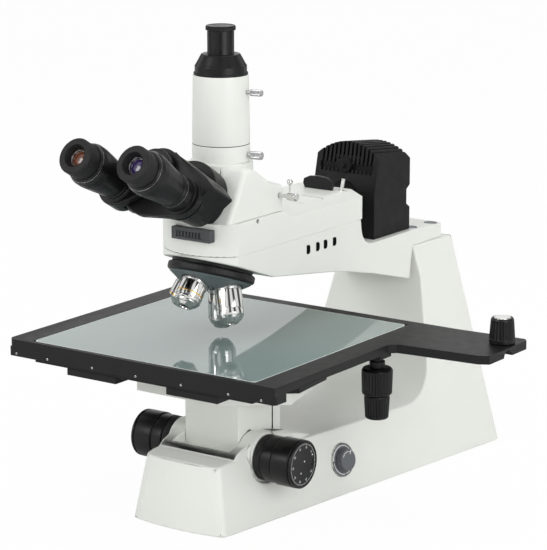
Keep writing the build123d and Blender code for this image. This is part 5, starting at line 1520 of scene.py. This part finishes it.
@dataclass
class Studio:
    """Pale floor, plain soft light and the camera."""

    azimuth: float = 35.0
    elevation: float = 13.1
    distance: float = 2740.0
    focal_pixels: float = 2535.0
    picture: tuple[float, float] = (547.0, 550.0)
    aim_pixel: tuple[float, float] = (221.9, 300.0)
    aim_height: float = 237.7
    sensor: float = 36.0
    floor_half: float = 6000.0
    floor_level: float = -0.05
    strips: float = 7.0
    strip_shift: float = -65.0
    strip_cut: tuple[float, float] = (-0.55, 0.35)
    strip_levels: tuple[float, float] = (0.08, 1.02)
    floor_share: float = 0.97
    lamps: tuple[tuple[str, Vec, float, float], ...] = (
        ("key_light", (-1.2, -2.8, 1.9), 1.6, 41.0),
        ("fill_light", (2.8, -0.8, 1.1), 1.8, 36.0),
        ("top_light", (0.2, 0.6, 2.6), 1.8, 15.0),
    )

    def camera(self) -> None:
        """A camera at the photograph's angle.

        The camera stands back from the aim along its own axis, and aside by the aim's pixel offset
        from the picture's middle, divided by the focal length in pixels and times the distance.
        """
        sine_a, cosine_a = tilted(self.azimuth)
        sine_e, cosine_e = tilted(self.elevation)
        back = np.array([sine_a * cosine_e, -cosine_a * cosine_e, sine_e])
        right = np.array([cosine_a, sine_a, 0.0])
        up = np.cross(back, right)
        aside = (self.aim_pixel[0] - self.picture[0] / 2) / self.focal_pixels * self.distance
        above = -(self.aim_pixel[1] - self.picture[1] / 2) / self.focal_pixels * self.distance
        aim = np.array([0.0, 0.0, self.aim_height])
        place = aim - (aside * right + above * up - self.distance * back)
        data = bpy.data.cameras.new("photo_camera")
        data.sensor_width = self.sensor
        data.lens = self.focal_pixels / max(self.picture) * self.sensor
        data.clip_start = 0.05
        data.clip_end = 60.0
        camera = bpy.data.objects.new("photo_camera", data)
        bpy.context.scene.collection.objects.link(camera)
        turn = Matrix(np.column_stack([right, up, back]).tolist()).to_4x4()
        camera.matrix_world = Matrix.Translation((place * MM).tolist()) @ turn
        bpy.context.scene.camera = camera

    def floor(self) -> None:
        """A wide floor that shows white to the camera and still takes a soft shadow."""
        half = self.floor_half
        level = self.floor_level
        grid = np.array([[[-half, -half, level], [half, -half, level]],
                         [[-half, half, level], [half, half, level]]])
        floor = Form("studio_floor").grid(grid).build()
        shader = Shader.start("pale_floor")
        shader.vary_colour(shader.noise(1.5, 2.0), (0.86, 0.86, 0.85), (0.88, 0.88, 0.87))
        shader.vary(shader.noise(9.0, 2.0), "Roughness", 0.7, 0.8)
        rays = shader.add("ShaderNodeLightPath")
        glow = shader.add("ShaderNodeEmission")
        glow.inputs["Strength"].default_value = 1.0
        blend = shader.add("ShaderNodeMixShader")
        share = shader.add("ShaderNodeMath", operation="MULTIPLY")
        share.inputs[1].default_value = self.floor_share
        shader.link(rays.outputs["Is Camera Ray"], share.inputs[0])
        shader.link(share.outputs[0], blend.inputs[0])
        shader.link(shader.surface.outputs[0], blend.inputs[1])
        shader.link(glow.outputs[0], blend.inputs[2])
        output = [node for node in shader.material.node_tree.nodes if node.type == "OUTPUT_MATERIAL"][0]
        shader.link(blend.outputs[0], output.inputs[0])
        floor.data.materials.append(shader.material)
        floor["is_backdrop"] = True

    def world(self) -> None:
        """Soft surroundings, white to the camera, with darker upright strips that band polished metal.

        A direction's brightness follows the sine of a multiple of its bearing plus a shift, cut off at
        both ends. The shift puts a bright strip behind the stage, which its glass mirrors.
        """
        world = bpy.data.worlds.new("studio_world")
        world.use_nodes = True
        bpy.context.scene.world = world
        tree = world.node_tree
        tree.nodes.clear()
        join = tree.links.new
        rays = tree_node(tree, "ShaderNodeLightPath")
        strips = tree_node(tree, "ShaderNodeBackground")
        strips.inputs["Color"].default_value = (1.0, 1.0, 0.99, 1.0)
        white = tree_node(tree, "ShaderNodeBackground")
        white.inputs["Color"].default_value = (1.0, 1.0, 1.0, 1.0)
        mix = tree_node(tree, "ShaderNodeMixShader")
        output = tree_node(tree, "ShaderNodeOutputWorld")
        place = tree_node(tree, "ShaderNodeTexCoord")
        split = tree_node(tree, "ShaderNodeSeparateXYZ")
        bearing = tree_node(tree, "ShaderNodeMath", operation="ARCTAN2")
        repeat = tree_node(tree, "ShaderNodeMath", operation="MULTIPLY_ADD")
        repeat.inputs[1].default_value = self.strips
        repeat.inputs[2].default_value = math.radians(self.strip_shift)
        wave = tree_node(tree, "ShaderNodeMath", operation="SINE")
        level = tree_node(tree, "ShaderNodeMapRange")
        level.inputs["From Min"].default_value, level.inputs["From Max"].default_value = self.strip_cut
        level.inputs["To Min"].default_value, level.inputs["To Max"].default_value = self.strip_levels
        join(place.outputs["Generated"], split.inputs[0])
        join(split.outputs["Y"], bearing.inputs[0])
        join(split.outputs["X"], bearing.inputs[1])
        join(bearing.outputs[0], repeat.inputs[0])
        join(repeat.outputs[0], wave.inputs[0])
        join(wave.outputs[0], level.inputs["Value"])
        join(level.outputs[0], strips.inputs["Strength"])
        join(rays.outputs["Is Camera Ray"], mix.inputs[0])
        join(strips.outputs[0], mix.inputs[1])
        join(white.outputs[0], mix.inputs[2])
        join(mix.outputs[0], output.inputs[0])

    def lamp(self, name: str, place: Vec, size: float, power: float,
             target: Vec = (0.0, 0.1, 0.25)) -> None:
        """Adds one square soft light aimed at the object.

        Args:
            name: Name of the light.
            place: Its place in metres.
            size: Its side in metres.
            power: Its power in watts.
            target: The point that it faces.
        """
        data = bpy.data.lights.new(name, "AREA")
        data.shape = "SQUARE"
        data.size = size
        data.energy = power
        light = bpy.data.objects.new(name, data)
        bpy.context.scene.collection.objects.link(light)
        back = np.array(place) - np.array(target)
        back = back / np.linalg.norm(back)
        side = np.cross(np.array([0.0, 0.0, 1.0]), back)
        side = side / np.linalg.norm(side)
        turn = Matrix(np.column_stack([side, np.cross(back, side), back]).tolist()).to_4x4()
        light.matrix_world = Matrix.Translation(place) @ turn

    def build(self) -> None:
        """Builds the studio."""
        bpy.context.scene.view_settings.view_transform = "Standard"
        self.camera()
        self.floor()
        self.world()
        for lamp in self.lamps:
            self.lamp(*lamp)


def corners(box: tuple) -> list[list[float]]:
    """A box as plain lists of numbers."""
    return [list(map(float, corner)) for corner in box]


def main() -> None:
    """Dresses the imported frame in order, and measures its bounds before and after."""
    logging.basicConfig(level=logging.INFO, format="%(message)s")
    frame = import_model()
    packed = corners(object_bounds())
    for part in (Stand(frame), FocusDrive(frame), StageStack(frame), Nosepiece(frame), Arm(frame),
                 Head(frame), Binocular(frame)):
        part.build()
        LOG.info("%s done", type(part).__name__)
    Studio().build()
    {"cad": packed, "visual": corners(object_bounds())}


if __name__ == "__main__":
    main()
